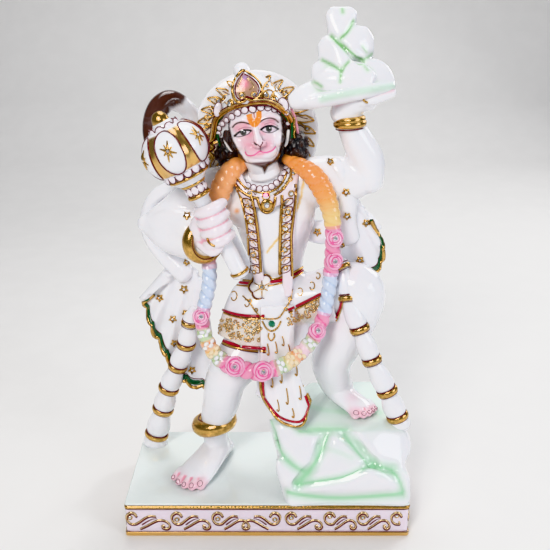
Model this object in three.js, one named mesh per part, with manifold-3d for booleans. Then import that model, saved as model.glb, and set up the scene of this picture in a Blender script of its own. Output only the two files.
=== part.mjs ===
// Carved and painted marble temple figure: a mace in one hand, a mountain on the other.
// Millimetres. X points to the viewer's right, Y to the back and Z up.
// The origin is the middle of the plinth's underside.

import * as THREE from "three";
import { ConvexGeometry } from "three/addons/geometries/ConvexGeometry.js";
import { mergeVertices } from "three/addons/utils/BufferGeometryUtils.js";
import Module from "manifold-3d";

const wasm = await Module();
wasm.setup();

// Driving dimensions

const FIGURE_HEIGHT = 283; // top of the plinth to the top of the mountain
const PLINTH_WIDTH = 174;
const PLINTH_DEPTH = 83;
const PLINTH_HEIGHT = 23;
const PLINTH_EDGE = 0.8; // softened top arris
const FOOT_BAND = 2.2; // gilt band round the foot of the plinth
const CORD_BAND = 2.1; // gilt line under the top slab
const TOP_SLAB = 1.7; // plain marble above that line
const PANEL_DEPTH = 0.5; // the sides sink this far behind the bands
const BAND_SLOPE = 0.4; // height over which a band meets a sunk side
const ROCK_MARGIN = 0.4; // the rock stays this far inside the plinth's front and back
const ROCK_OVERHANG = 2.8; // its right shoulder passes the plinth's end by this much
const HALO_RADIUS = 36.6;
const HALO_THICKNESS = 5.5;
const HALO_DOME = 1.6; // the middle of the halo stands this much prouder than its rim
const MACE_RADIUS = 18.6; // across the six lobes of its head
const MACE_HEAD = 29; // height of the head between knob and flange
const MACE_KNOB = 7.8; // height of the knob
const MACE_COLLAR = 14.6; // from the flange to the foot of the gilt neck
const MACE_FLANGE_RADIUS = 11;
const MACE_HANDLE = 9.3; // diameter
const BANGLE_TUBE = 4.6; // diameter of a bangle's rounded section
const ANKLET_TUBE = 5.4;
const GARLAND_TURN = 22; // length of rope in which its two strands go once round
const STONE_DIAMETER = 3.1; // round faceted stones glued on the marble
const STONE_HEIGHT = 1.6;
const STONE_TABLE = 0.55; // width of the flat top as a share of the diameter
const STONE_FACETS = 6;
const STONE_SEAT_GAP = 0.3; // between a stone's flat back and the marble

// Colours and finishes

const marble = new THREE.MeshStandardMaterial({ color: 0xe9ebf2, roughness: 0.18, metalness: 0 });
const crystal = new THREE.MeshStandardMaterial({ color: 0xe6f2ff, roughness: 0.04, metalness: 0.1 });
const rosyCrystal = new THREE.MeshStandardMaterial({ color: 0xd76fa0, roughness: 0.05, metalness: 0.1 });

// The pose is written in thousandths of the figure's height, from the top of the plinth

const SHARE = FIGURE_HEIGHT / 1000;
const BACK = new THREE.Vector3(0, 1, 0);
const UP = new THREE.Vector3(0, 0, 1);

function at([x, y, z]) {
  return new THREE.Vector3(x * SHARE, y * SHARE, PLINTH_HEIGHT + z * SHARE);
}

// Solids from points and triangles

function signedVolume(points, triangles) {
  let sum = 0;
  for (const [a, b, c] of triangles) {
    sum += points[a].dot(points[b].clone().cross(points[c]));
  }
  return sum / 6;
}

function solidOf(points, triangles) {
  const outward = signedVolume(points, triangles) > 0;
  return new wasm.Manifold(
    new wasm.Mesh({
      numProp: 3,
      vertProperties: new Float32Array(points.flatMap((p) => [p.x, p.y, p.z])),
      triVerts: new Uint32Array(triangles.flatMap(([a, b, c]) => (outward ? [a, b, c] : [a, c, b]))),
    }),
  );
}

function fromGeometry(geometry) {
  const bare = geometry.index ? geometry.toNonIndexed() : geometry.clone();
  bare.deleteAttribute("normal");
  bare.deleteAttribute("uv");
  const merged = mergeVertices(bare, 1e-3);
  const place = merged.getAttribute("position");
  const points = Array.from({ length: place.count }, (_, i) => new THREE.Vector3().fromBufferAttribute(place, i));
  const triangles = [];
  for (let i = 0; i < merged.index.count; i += 3) {
    const [a, b, c] = [0, 1, 2].map((k) => merged.index.getX(i + k));
    if (a !== b && b !== c && c !== a) triangles.push([a, b, c]);
  }
  return solidOf(points, triangles);
}

function join(solids) {
  return solids.reduce((whole, next) => whole.add(next));
}

// Catmull-Rom values between neighbouring stations, for the sizes as well as the places

function refine(stations, perSpan) {
  const last = stations.length - 1;
  const pick = (i) => stations[Math.min(Math.max(i, 0), last)];
  const fine = [];
  for (let i = 0; i < last; i++) {
    const [before, from, to, after] = [pick(i - 1), pick(i), pick(i + 1), pick(i + 2)];
    for (let k = 0; k < perSpan; k++) {
      const t = k / perSpan;
      fine.push(
        from.map((b, n) => {
          const [a, c, d] = [before[n], to[n], after[n]];
          const bend = (3 * b - a - 3 * c + d) * t * t * t + (2 * a - 5 * b + 4 * c - d) * t * t;
          return b + ((c - a) * t + bend) / 2;
        }),
      );
    }
  }
  return [...fine, stations[last]];
}

// A closed solid through rings of points, with a pole at each end

function loft(rings, poles) {
  const sides = rings[0].length;
  const points = [...rings.flat(), ...poles];
  const [first, last] = [points.length - 2, points.length - 1];
  const top = (rings.length - 1) * sides;
  const triangles = [];
  for (let k = 0; k < sides; k++) {
    const next = (k + 1) % sides;
    for (let i = 0; i < rings.length - 1; i++) {
      const [a, b] = [i * sides + k, i * sides + next];
      triangles.push([a, b, b + sides], [a, b + sides, a + sides]);
    }
    triangles.push([first, next, k], [last, top + k, top + next]);
  }
  return solidOf(points, triangles);
}

// A limb: stations [x, y, z, half width, half depth] joined by rings that stand square to the run.
// The depth axis of a ring leans towards `deep`; `shape` swells a ring by angle and by station.
// A thick limb ends in a shoulder ring and a pole, a thin one in a pole alone.

const THICK_SIDES = 10;

function limb(stations, { sides = 10, deep = BACK, perSpan = 1, round = 0.7, shape = () => 1 } = {}) {
  const fine = refine(stations, perSpan);
  const centres = fine.map(at);
  const end = fine.length - 1;
  const rings = [];
  const poles = [];
  fine.forEach(([, , , halfWidth, halfDepth], i) => {
    const along = centres[Math.min(i + 1, end)].clone().sub(centres[Math.max(i - 1, 0)]).normalize();
    const across = along.clone().cross(deep).normalize();
    const inward = across.clone().cross(along).normalize();
    const ring = (size, slide) =>
      Array.from({ length: sides }, (_, k) => {
        const angle = (2 * Math.PI * k) / sides;
        const swell = size * SHARE * shape(angle, i, end);
        return centres[i]
          .clone()
          .addScaledVector(along, slide)
          .addScaledVector(across, Math.cos(angle) * halfWidth * swell)
          .addScaledVector(inward, Math.sin(angle) * halfDepth * swell);
      });
    const bulge = round * Math.min(halfWidth, halfDepth) * SHARE;
    const outward = i === 0 ? -1 : 1;
    const shoulder = round > 0 && sides >= THICK_SIDES;
    if (i === 0 && shoulder) rings.push(ring(0.7, -0.6 * bulge));
    rings.push(ring(1, 0));
    if (i === end && shoulder) rings.push(ring(0.7, 0.6 * bulge));
    if (i === 0 || i === end) poles.push(centres[i].clone().addScaledVector(along, outward * bulge));
  });
  return loft(rings, poles);
}

// An ellipsoid with its half sizes along X, Y and Z

function ball(centre, [halfWidth, halfDepth, halfHeight], across = 10, up = 7) {
  const sphere = new THREE.SphereGeometry(1, across, up).rotateX(Math.PI / 2);
  sphere.scale(halfWidth * SHARE, halfDepth * SHARE, halfHeight * SHARE);
  const middle = at(centre);
  return fromGeometry(sphere.translate(middle.x, middle.y, middle.z));
}

// A ring of round section, square to `axis`

function hoop(centre, axis, radius, tube, sides = 10, section = 4) {
  const torus = new THREE.TorusGeometry(radius * SHARE, tube / 2, section, sides);
  const turn = new THREE.Quaternion().setFromUnitVectors(UP, new THREE.Vector3(...axis).normalize());
  const middle = at(centre);
  return fromGeometry(torus.applyQuaternion(turn).translate(middle.x, middle.y, middle.z));
}

// A turned form: profile points [radius, height] spun round `axis` through `foot`, in millimetres

function turned(profile, foot, axis, sides, shape = () => 1) {
  const up = new THREE.Vector3(...axis).normalize();
  const across = up.clone().cross(BACK).normalize();
  const inward = across.clone().cross(up).normalize();
  const base = at(foot);
  const rings = profile.map(([radius, height]) =>
    Array.from({ length: sides }, (_, k) => {
      const angle = (2 * Math.PI * k) / sides;
      const reach = radius * shape(angle, height);
      return base
        .clone()
        .addScaledVector(up, height)
        .addScaledVector(across, Math.cos(angle) * reach)
        .addScaledVector(inward, Math.sin(angle) * reach);
    }),
  );
  const poles = [profile[0], profile[profile.length - 1]].map(([, height]) =>
    base.clone().addScaledVector(up, height),
  );
  return loft(rings, poles);
}

// A stone block with flat faces

function block(corners) {
  return fromGeometry(new ConvexGeometry(corners.map(at)));
}

// Thick cloth: rows of points from the gather to the hem, given its thickness towards the back

function cloth(rows, thickness) {
  const across = rows[0].length;
  const behind = new THREE.Vector3(0, thickness, 0);
  const front = rows.flat();
  const points = [...front, ...front.map((p) => p.clone().add(behind))];
  const triangles = [];
  const cell = (a, b, c, d) => triangles.push([a, b, c], [a, c, d]);
  const rear = front.length;
  for (let i = 0; i < rows.length - 1; i++) {
    for (let k = 0; k < across - 1; k++) {
      const [a, b] = [i * across + k, i * across + k + 1];
      cell(a, b, b + across, a + across);
      cell(rear + b, rear + a, rear + a + across, rear + b + across);
    }
    const [left, right] = [i * across, i * across + across - 1];
    cell(left, left + across, left + across + rear, left + rear);
    cell(right + across, right, right + rear, right + across + rear);
  }
  const bottom = (rows.length - 1) * across;
  for (let k = 0; k < across - 1; k++) {
    cell(k + 1, k, k + rear, k + 1 + rear);
    cell(bottom + k, bottom + k + 1, bottom + k + 1 + rear, bottom + k + rear);
  }
  return solidOf(points, triangles);
}

// A point at share t along a list of points

function alongList(list, t) {
  const place = t * (list.length - 1);
  const i = Math.min(Math.floor(place), list.length - 2);
  return list[i].map((value, n) => value + (list[i + 1][n] - value) * (place - i));
}

// Pleated cloth between a gather and a hem; pleats open towards the hem

function pleated(gather, hem, { pleats, depth, rows = 5, perPleat = 4, thickness }) {
  const columns = pleats * perPleat;
  const grid = Array.from({ length: rows }, (_, i) =>
    Array.from({ length: columns + 1 }, (_, k) => {
      const fall = i / (rows - 1);
      const from = alongList(gather, k / columns);
      const to = alongList(hem, k / columns);
      const point = at(from.map((value, n) => value + (to[n] - value) * fall));
      point.y -= depth * SHARE * Math.sqrt(fall) * Math.cos((2 * Math.PI * k) / perPleat);
      return point;
    }),
  );
  return cloth(grid, thickness * SHARE);
}

// The plinth, a slab with two raised bands

function plinth() {
  const sunk = -PANEL_DEPTH;
  const cordTop = PLINTH_HEIGHT - TOP_SLAB;
  const cordFoot = cordTop - CORD_BAND;
  const levels = [
    [0, -BAND_SLOPE],
    [BAND_SLOPE, 0],
    [FOOT_BAND, 0],
    [FOOT_BAND + BAND_SLOPE, sunk],
    [cordFoot - BAND_SLOPE, sunk],
    [cordFoot, 0],
    [cordTop, 0],
    [cordTop + BAND_SLOPE, sunk],
    [PLINTH_HEIGHT - PLINTH_EDGE, sunk],
    [PLINTH_HEIGHT, sunk - PLINTH_EDGE],
  ];
  const rings = levels.map(([z, out]) =>
    [
      [-1, -1],
      [1, -1],
      [1, 1],
      [-1, 1],
    ].map(([sx, sy]) => new THREE.Vector3(sx * (PLINTH_WIDTH / 2 + out), sy * (PLINTH_DEPTH / 2 + out), z)),
  );
  return loft(rings, [new THREE.Vector3(0, 0, 0), new THREE.Vector3(0, 0, PLINTH_HEIGHT)]);
}

// The rock under the raised foot: overlapping blocks, cut flush with the plinth's sides

const SUNK = -12; // the rock runs this far into the plinth

const rockBlocks = {
  heart: [
    [8, -60, 160], [115, -95, 147], [183, -88, 149], [300, -42, 146], [298, 60, 153], [250, 104, 163],
    [98, 106, 159], [51, 28, 158], [45, -138, SUNK], [306, -138, SUNK], [300, 90, SUNK], [90, 118, SUNK],
    [40, 20, SUNK], [30, -60, 60],
  ],
  leftLobe: [
    [2, -71, 168], [19, -92, 168], [70, -104, 157], [115, -102, 144], [95, -124, 116], [89, -134, 91],
    [66, -141, 64], [38, -134, 79], [13, -106, 130], [60, -40, 110], [60, -90, 20],
  ],
  lowLeftLobe: [
    [18, -124, 104], [28, -134, 92], [61, -143, 60], [42, -147, 20], [19, -127, 72], [60, -90, 30],
    [50, -80, SUNK], [44, -140, SUNK],
  ],
  wedge: [
    [132, -100, 147], [62, -143, 36], [226, -134, 89], [180, -100, 130], [120, -60, 100], [90, -80, 10],
    [150, -140, 60], [240, -70, 20],
  ],
  rightLobe: [
    [183, -95, 150], [243, -82, 147], [295, -67, 132], [318, -71, 104], [311, -92, 86], [277, -124, 72],
    [239, -127, 92], [210, -113, 122], [292, 35, 149], [310, 0, 90], [220, -40, 80],
  ],
  ledge: [
    [62, -147, 34], [150, -147, 52], [225, -142, 90], [271, -134, 82], [303, -130, 60], [307, -147, 14],
    [44, -147, 24], [42, -147, SUNK], [307, -147, SUNK], [307, -60, SUNK], [60, -60, SUNK], [290, -60, 60],
  ],
};

function rock() {
  const heap = join(Object.values(rockBlocks).map(block));
  const room = new THREE.BoxGeometry(
    PLINTH_WIDTH + 2 * ROCK_OVERHANG,
    PLINTH_DEPTH - 2 * ROCK_MARGIN,
    2 * (PLINTH_HEIGHT + FIGURE_HEIGHT),
  );
  return heap.intersect(fromGeometry(room));
}

// Legs and feet

const rightLeg = [
  [-18, 24, 345, 56, 54], [-46, 4, 292, 56, 52], [-72, -14, 262, 51, 49], [-91, -16, 228, 45, 44],
  [-103, -2, 170, 42, 41], [-115, 11, 126, 36, 36], [-121, 21, 86, 29, 30], [-120, 28, 55, 29, 30],
  [-116, 34, 22, 29, 32],
];
const leftLeg = [
  [40, 30, 391, 50, 47], [112, 20, 408, 54, 52], [156, 8, 432, 56, 53],
  [188, -6, 442, 55, 50], [197, -7, 418, 53, 49], [183, 0, 368, 52, 49], [158, 8, 312, 51, 48],
  [143, 17, 262, 46, 43], [150, 27, 214, 39, 38], [164, 32, 180, 33, 35],
];

function rightFoot() {
  const sole = [
    [-106, 62, 16, 28, 18], [-120, 30, 26, 33, 27], [-135, -6, 24, 37, 24], [-152, -40, 19, 41, 19],
    [-166, -66, 13, 42, 13],
  ];
  const toes = [
    [-146, -92, 11], [-165, -97, 9], [-182, -92, 8], [-197, -80, 7.5], [-209, -64, 7],
  ];
  return [
    limb(sole, { deep: UP, sides: 9 }),
    ...toes.map(([x, y, size]) =>
      limb([[x + 12, y + 28, 13, size, size], [x, y, 8, size, size * 0.9]], { deep: UP, sides: 5, round: 0.9 }),
    ),
  ];
}

function leftFoot() {
  const sole = [
    [155, 52, 172, 26, 16], [162, 26, 178, 29, 22], [176, 4, 176, 32, 20], [194, -16, 171, 34, 15],
    [206, -31, 166, 33, 11],
  ];
  const toes = [
    [192, -52, 11], [209, -53, 9], [222, -46, 8], [231, -36, 7.5], [238, -26, 7],
  ];
  return [
    limb(sole, { deep: UP, sides: 9 }),
    ...toes.map(([x, y, size]) =>
      limb([[x - 10, y + 24, 167, size, size], [x, y, 162, size, size * 0.9]], { deep: UP, sides: 5, round: 0.9 }),
    ),
  ];
}

function legs() {
  return [
    limb(rightLeg, { round: 0 }),
    limb(leftLeg, { round: 0 }),
    ...rightFoot(),
    ...leftFoot(),
    hoop([-122, 20, 102], [-0.2, 0.12, 1], 40, ANKLET_TUBE),
  ];
}

// Trunk, arms and hands

const trunk = [
  [6, 28, 345, 80, 60], [11, 28, 400, 74, 57], [19, 28, 437, 67, 49], [20, 28, 487, 56, 47],
  [18, 26, 542, 72, 54], [16, 23, 593, 86, 58], [6, 26, 641, 84, 51], [-2, 24, 671, 48, 40],
  [-10, 18, 700, 33, 34],
];
const leftArm = [
  [50, 30, 655, 46, 46], [86, 27, 660, 52, 47], [126, 24, 664, 52, 45], [166, 20, 668, 47, 40],
  [200, 17, 678, 38, 36],
];
const leftForearm = [
  [207, 14, 672, 32, 34], [201, 11, 708, 36, 34], [184, 4, 745, 31, 30], [170, 0, 777, 26, 27],
  [163, -4, 807, 25, 26], [158, -4, 832, 31, 30],
];
const rightArm = [
  [-50, 32, 650, 46, 48], [-100, 32, 642, 50, 46], [-150, 28, 622, 45, 42], [-196, 24, 596, 35, 36],
  [-236, 20, 579, 25, 28], [-254, 17, 576, 13, 18],
];
const rightForearm = [
  [-248, 16, 576, 20, 22], [-212, 4, 570, 44, 38], [-175, -12, 564, 50, 41], [-142, -30, 558, 46, 38],
  [-126, -48, 558, 34, 32],
];

function fist() {
  const palm = [
    [-134, -46, 562, 30, 30], [-120, -60, 576, 40, 30], [-108, -74, 588, 44, 28], [-98, -84, 594, 38, 22],
  ];
  const knuckles = [0, 1, 2, 3].map((k) => {
    const [x, z] = [-108 + 5 * k, 639 - 21 * k];
    return limb([[x - 24, -82, z - 12, 10, 12], [x - 4, -104, z - 4, 12, 13], [x + 20, -90, z + 7, 10, 11]], {
      sides: 6,
    });
  });
  return [limb(palm, { sides: 9 }), ...knuckles];
}

function arms() {
  return [
    limb(leftArm, { sides: 9 }),
    limb(leftForearm, { sides: 9 }),
    limb(rightArm, { sides: 9 }),
    limb(rightForearm, { round: 0 }),
    ...fist(),
    hoop([167, -4, 789], [-0.2, 0, 1], 29, BANGLE_TUBE),
    hoop([-126, -54, 559], [0.55, -0.75, 0.1], 36, BANGLE_TUBE),
  ];
}

// Head, hair and crown

const headStations = [
  [-10, -14, 712, 26, 24], [-12, -8, 724, 42, 38], [-16, -3, 750, 52, 47], [-20, 1, 785, 56, 53],
  [-24, 4, 812, 60, 53], [-26, 8, 834, 36, 34],
];
const crownStations = [
  [-22, 8, 768, 52, 64], [-23, 12, 773, 66, 77], [-23, 18, 780, 66, 76], [-25, 23, 786, 58, 67], [-34, 19, 840, 49, 50],
  [-41, 18, 858, 34, 36], [-47, 20, 874, 18, 18],
];

function hair() {
  return [-1, 1].map((side) => ball([-8 + side * 70, 12, 722], [24, 28, 38], 7, 5));
}

function face() {
  return [
    ball([-10, -36, 738], [34, 22, 24], 9, 6),
    limb([[-20, -44, 786, 6, 8], [-13, -55, 754, 10, 9]], { sides: 5 }),
    ball([-76, 8, 750], [10, 14, 24], 5, 4),
    ball([39, 8, 762], [10, 14, 24], 5, 4),
  ];
}

// A tear-shaped plaque that leans on the crown

function plaque(x, y, z, width, height) {
  const stations = [
    [x, y, z - height, width * 0.6, 8], [x, y, z - height * 0.55, width, 9],
    [x, y + 2, z + height * 0.1, width * 0.9, 9], [x - 1, y + 7, z + height * 0.6, width * 0.45, 8],
    [x - 2, y + 12, z + height, 2, 4],
  ];
  return limb(stations, { sides: 7, round: 0.4 });
}

// Low round bosses that carry the crown's stones

const crownBosses = [[6, -24, 846], [-76, -14, 828], [33, -10, 838]];

function crown() {
  return [
    limb(crownStations, { sides: 14, round: 0 }),
    plaque(-36, -40, 858, 26, 31),
    ...crownBosses.map((place) => ball(place, [15, 28, 16], 6, 4)),
    ball([-48, 21, 882], [17, 17, 16], 7, 5),
  ];
}

const HALO_CENTRE = [-22, 88, 749];

function halo() {
  const profile = [
    [HALO_RADIUS - 1, -HALO_THICKNESS / 2],
    [HALO_RADIUS, -HALO_THICKNESS / 4],
    [HALO_RADIUS, HALO_THICKNESS / 4],
    [HALO_RADIUS * 0.9, HALO_THICKNESS / 2 + HALO_DOME / 2],
    [HALO_RADIUS * 0.5, HALO_THICKNESS / 2 + HALO_DOME],
  ];
  const disc = turned(profile, HALO_CENTRE, [0, -1, 0.001], 22);
  const nape = limb([[-8, 66, 640, 60, 34], [-22, 52, 806, 56, 44]], { sides: 8 });
  return [disc, nape];
}

// The tail rises behind the shoulder and curls over beside the halo

const tail = [
  [-12, 70, 378, 22, 20], [-61, 96, 470, 20, 18], [-104, 106, 560, 19, 17], [-128, 108, 640, 17, 16],
  [-136, 104, 700, 17, 16], [-142, 99, 749, 17, 16], [-153, 90, 783, 17, 16], [-170, 78, 808, 18, 17],
  [-194, 66, 820, 21, 19], [-214, 50, 810, 22, 20], [-224, 32, 787, 22, 20], [-225, 10, 762, 20, 18],
  [-220, -12, 742, 16, 15], [-208, -40, 736, 12, 12],
];

// The mace, its head a melon of six lobes

const MACE_TIP = [-203, -78, 817];
const MACE_BUTT = [-49, -78, 494];

function mace() {
  const [tip, butt] = [at(MACE_TIP), at(MACE_BUTT)];
  const axis = tip.clone().sub(butt).normalize().toArray();
  const top = tip.distanceTo(butt) - MACE_KNOB;
  const flange = top - MACE_HEAD;
  const neck = flange - MACE_COLLAR;
  const handle = MACE_HANDLE / 2;
  const stem = [
    [handle * 1.15, 0],
    [handle * 1.25, 3],
    [handle, 4.5],
    [handle, neck - 1],
    [handle * 1.18, neck],
    [handle * 1.1, neck + 7],
    [handle * 1.38, neck + 9],
    [MACE_FLANGE_RADIUS, flange - 1],
    [MACE_FLANGE_RADIUS, flange + 1.5],
  ];
  const steps = 6;
  const melon = [];
  for (let k = 1; k < steps; k++) {
    const angle = (Math.PI * k) / steps;
    melon.push([MACE_RADIUS * Math.sin(angle) ** 0.8, flange + (MACE_HEAD * (1 - Math.cos(angle))) / 2]);
  }
  const knob = [
    [8.4, top - 3],
    [6, top + 0.5],
    [4.6, top + MACE_KNOB * 0.55],
    [2.2, top + MACE_KNOB],
  ];
  const lobes = (angle) => 0.9 + 0.1 * Math.abs(Math.cos(3 * angle)) ** 0.5;
  return [
    turned(stem, MACE_BUTT, axis, 8),
    turned(melon, MACE_BUTT, axis, 18, lobes),
    turned(knob, MACE_BUTT, axis, 8),
  ];
}

// The mountain on the raised palm

const mountainBlocks = {
  peak: [
    [113, -10, 985], [121, -7, 1000], [160, -7, 1000], [169, -10, 990], [163, -14, 965], [138, -28, 940],
    [122, -14, 944], [115, 14, 985], [165, 14, 985], [124, 10, 930], [160, 10, 930], [116, -2, 968],
  ],
  upperRight: [
    [138, -26, 943], [160, -14, 966], [186, -10, 965], [201, -7, 944], [203, -7, 915], [186, -30, 904],
    [160, -38, 918], [140, 18, 950], [195, 18, 950], [198, 18, 905], [150, 24, 890], [192, -7, 898],
  ],
  upperLeft: [
    [124, -10, 951], [106, -11, 944], [98, -14, 930], [103, -22, 903], [138, -46, 886], [158, -42, 905],
    [128, -30, 940], [112, 20, 940], [108, 20, 900], [170, 20, 900],
  ],
  lowerLeft: [
    [104, -18, 904], [90, -21, 897], [86, -25, 884], [92, -30, 864], [111, -46, 850], [146, -52, 862],
    [146, -46, 888], [95, 22, 890], [98, 24, 858], [150, 30, 860],
  ],
  lowLump: [
    [94, -21, 868], [77, -28, 862], [60, -35, 852], [42, -34, 836], [50, -42, 826], [74, -50, 828],
    [112, -50, 842], [60, 10, 850], [46, 0, 830], [110, 20, 850],
  ],
  middle: [
    [140, -55, 858], [146, -46, 893], [158, -44, 904], [182, -48, 900], [204, -50, 880], [192, -60, 858],
    [150, 20, 880], [190, 20, 880],
  ],
  lowerRight: [
    [180, -34, 900], [196, -21, 905], [212, -18, 905], [228, -18, 894], [241, -18, 874], [246, -20, 855],
    [194, -56, 855], [185, 26, 890], [232, 22, 882], [240, 20, 858],
  ],
  slab: [
    [43, -40, 828], [73, -54, 836], [110, -62, 845], [156, -66, 854], [202, -60, 861], [245, -30, 862],
    [49, -34, 816], [91, -44, 819], [122, -50, 828], [176, -54, 838], [240, -30, 848], [66, 24, 846],
    [126, 44, 852], [186, 44, 858], [236, 24, 862], [60, 10, 826], [126, 30, 832], [186, 30, 838],
  ],
};

function raisedHand() {
  const palm = [[152, -4, 812, 28, 26], [178, -14, 836, 44, 36]];
  const fingers = [0, 1, 2, 3].map((k) =>
    limb([[186, -34 + 17 * k, 836, 11, 9], [238 - 2 * k, -31 + 12 * k, 847, 9, 8]], { deep: UP, sides: 6 }),
  );
  return [limb(palm, { sides: 7 }), ...fingers];
}

// Shawl: a band round the right elbow, a loop behind the trunk and two pleated falls

const elbowBand = [
  [-160, 34, 640, 12, 14], [-190, 46, 646, 16, 18], [-230, 54, 625, 17, 18], [-251, 55, 582, 18, 18],
  [-246, 52, 538, 19, 18], [-222, 44, 504, 21, 18], [-176, 26, 462, 24, 18],
];
const backLoop = [
  [40, 60, 585, 20, 16], [74, 49, 562, 22, 15], [107, 36, 552, 26, 15], [140, 28, 560, 27, 15],
  [165, 26, 590, 24, 14],
];
const armShawl = [
  [138, 14, 694, 20, 22], [150, 8, 672, 28, 28], [158, 12, 630, 28, 26], [160, 20, 585, 26, 20],
  [166, 26, 540, 30, 16],
];
const leftFallGather = [[-206, 38, 462], [-190, 28, 478], [-160, 20, 474], [-138, 14, 440]];
const leftFallHem = [
  [-260, 42, 404], [-271, 42, 387], [-264, 42, 349], [-250, 42, 308], [-235, 42, 269], [-219, 46, 237],
  [-195, 46, 196], [-150, 42, 172], [-112, 30, 176],
];
const rightFallGather = [[182, 20, 640], [172, 18, 620], [162, 16, 600], [150, 14, 590]];
const rightFallHem = [
  [222, 40, 572], [243, 42, 530], [249, 42, 505], [244, 42, 468], [214, 40, 456], [186, 34, 452],
  [156, 28, 460],
];

function shawl() {
  return [
    limb(elbowBand, { sides: 6 }),
    limb(backLoop, { sides: 6 }),
    limb(armShawl, { sides: 8 }),
    pleated(leftFallGather, leftFallHem, { pleats: 5, depth: 7, rows: 3, perPleat: 2, thickness: 22 }),
    pleated(rightFallGather, rightFallHem, { pleats: 3, depth: 6, rows: 3, perPleat: 2, thickness: 22 }),
  ];
}

// Bell straps: strings of bells, each flaring down to its gilt rim

function bells(rims) {
  const stations = [];
  rims.forEach(([x, y, z, width, depth], i) => {
    if (i > 0) {
      const [px, py, pz, pw, pd] = rims[i - 1];
      const part = (t, w, d) => [px + (x - px) * t, py + (y - py) * t, pz + (z - pz) * t, w, d];
      stations.push(part(0.16, pw * 0.74, pd * 0.82));
    }
    stations.push([x, y, z, width, depth]);
  });
  return limb(stations, { sides: 5, round: 0 });
}

const leftStrapRims = [
  [-156, -20, 400, 12, 12], [-166, -14, 364, 17, 14], [-177, 7, 305, 21, 17], [-201, 28, 241, 22, 18],
  [-227, 49, 174, 24, 19], [-246, 67, 109, 25, 20], [-268, 86, 30, 28, 21], [-276, 92, -8, 28, 21],
];
const rightStrapRims = [
  [147, -12, 512, 12, 12], [157, -22, 494, 16, 14], [166, -40, 433, 19, 16], [194, -49, 366, 21, 17],
  [222, -53, 296, 21, 17], [258, -53, 222, 23, 18], [284, -50, 159, 24, 19], [292, -48, 128, 24, 19],
];

// Skirt, belt and front panel

function skirt() {
  const drum = [
    [19, 27, 466, 62, 54], [19, 26, 454, 68, 59], [18, 26, 442, 66, 55], [14, 22, 424, 76, 61], [4, 16, 390, 88, 70], [-8, 10, 335, 97, 76],
    [-12, 8, 318, 96, 75],
  ];
  const sleeve = [
    [40, 26, 402, 56, 58], [84, 20, 408, 56, 58], [118, 16, 412, 60, 60], [146, 12, 418, 64, 62],
  ];
  const folds = (count, depth) => (angle, i, end) => 1 + (depth * i * Math.cos(count * angle)) / end;
  return [
    limb(drum, { sides: 15, round: 0, shape: folds(5, 0.03) }),
    limb(sleeve, { sides: 12, round: 0, shape: folds(4, 0.03) }),
    ball([17, -38, 436], [34, 22, 36], 7, 5),
  ];
}

const panelLeft = [[-12, -60, 420], [-12, -74, 341], [-14, -88, 268], [-10, -92, 237]];
const panelRight = [[58, -56, 420], [58, -67, 349], [68, -78, 274], [82, -78, 236], [93, -81, 216]];
const panelHem = [[-10, -92, 237], [2, -95, 206], [24, -99, 181], [56, -100, 160], [78, -95, 171], [93, -84, 212]];

function frontPanel() {
  const rows = 4;
  const columns = 8;
  const grid = Array.from({ length: rows }, (_, i) =>
    Array.from({ length: columns + 1 }, (_, k) => {
      const fall = i / (rows - 1);
      const left = alongList(panelLeft, fall);
      const right = alongList(panelRight, fall);
      const drop = alongList(panelHem, k / columns);
      const blend = fall ** 3;
      const level = left.map((value, n) => value + (right[n] - value) * (k / columns));
      const point = at(level.map((value, n) => value * (1 - blend) + drop[n] * blend));
      point.y -= 5 * SHARE * Math.cos((2 * Math.PI * k) / 4);
      return point;
    }),
  );
  return cloth(grid, 30 * SHARE);
}

// Garland: a twisted rope that hangs from both shoulders

const garlandLine = [
  [-40, 10, 706, 12, 14], [-66, -12, 696, 21, 19], [-88, -20, 662, 24, 20], [-106, -24, 604, 20, 19],
  [-116, -38, 538, 18, 18], [-117, -50, 470, 17, 17], [-132, -57, 400, 18, 17], [-129, -64, 362, 18, 17],
  [-112, -74, 328, 20, 18], [-83, -89, 305, 22, 19], [-48, -101, 298, 23, 20], [-10, -106, 296, 23, 20],
  [31, -101, 307, 22, 19], [64, -90, 326, 20, 18], [90, -77, 352, 19, 17], [107, -66, 384, 18, 17],
  [117, -56, 435, 17, 17], [127, -46, 496, 18, 18], [134, -41, 566, 20, 19], [128, -36, 616, 22, 20],
  [112, -32, 658, 23, 20], [88, -25, 690, 22, 20], [42, 12, 712, 12, 14],
];

function garland() {
  const centres = garlandLine.map(at);
  const lengths = [0];
  for (let i = 1; i < centres.length; i++) {
    lengths.push(lengths[i - 1] + centres[i].distanceTo(centres[i - 1]));
  }
  const twist = (angle, i) => 0.94 + 0.12 * Math.cos(2 * angle + (4 * Math.PI * lengths[i]) / GARLAND_TURN);
  return limb(garlandLine, { sides: 6, shape: twist });
}

// Chest ornaments that stand proud of the marble: collar and the two long strands

const collar = [
  [58, -6, 700, 8, 6], [46, -30, 662, 10, 6], [0, -40, 638, 11, 6], [-46, -28, 660, 10, 6],
  [-62, -6, 692, 8, 6],
];
const strands = [
  [[-30, -33, 640, 8, 7], [-25, -29, 540, 8, 7], [-14, -36, 448, 8, 7]],
  [[44, -32, 645, 8, 7], [45, -29, 540, 8, 7], [42, -36, 448, 8, 7]],
];

function ornaments() {
  return [limb(collar, { sides: 5 }), ...strands.map((line) => limb(line, { sides: 4, round: 0 }))];
}

// The whole carved block

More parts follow.
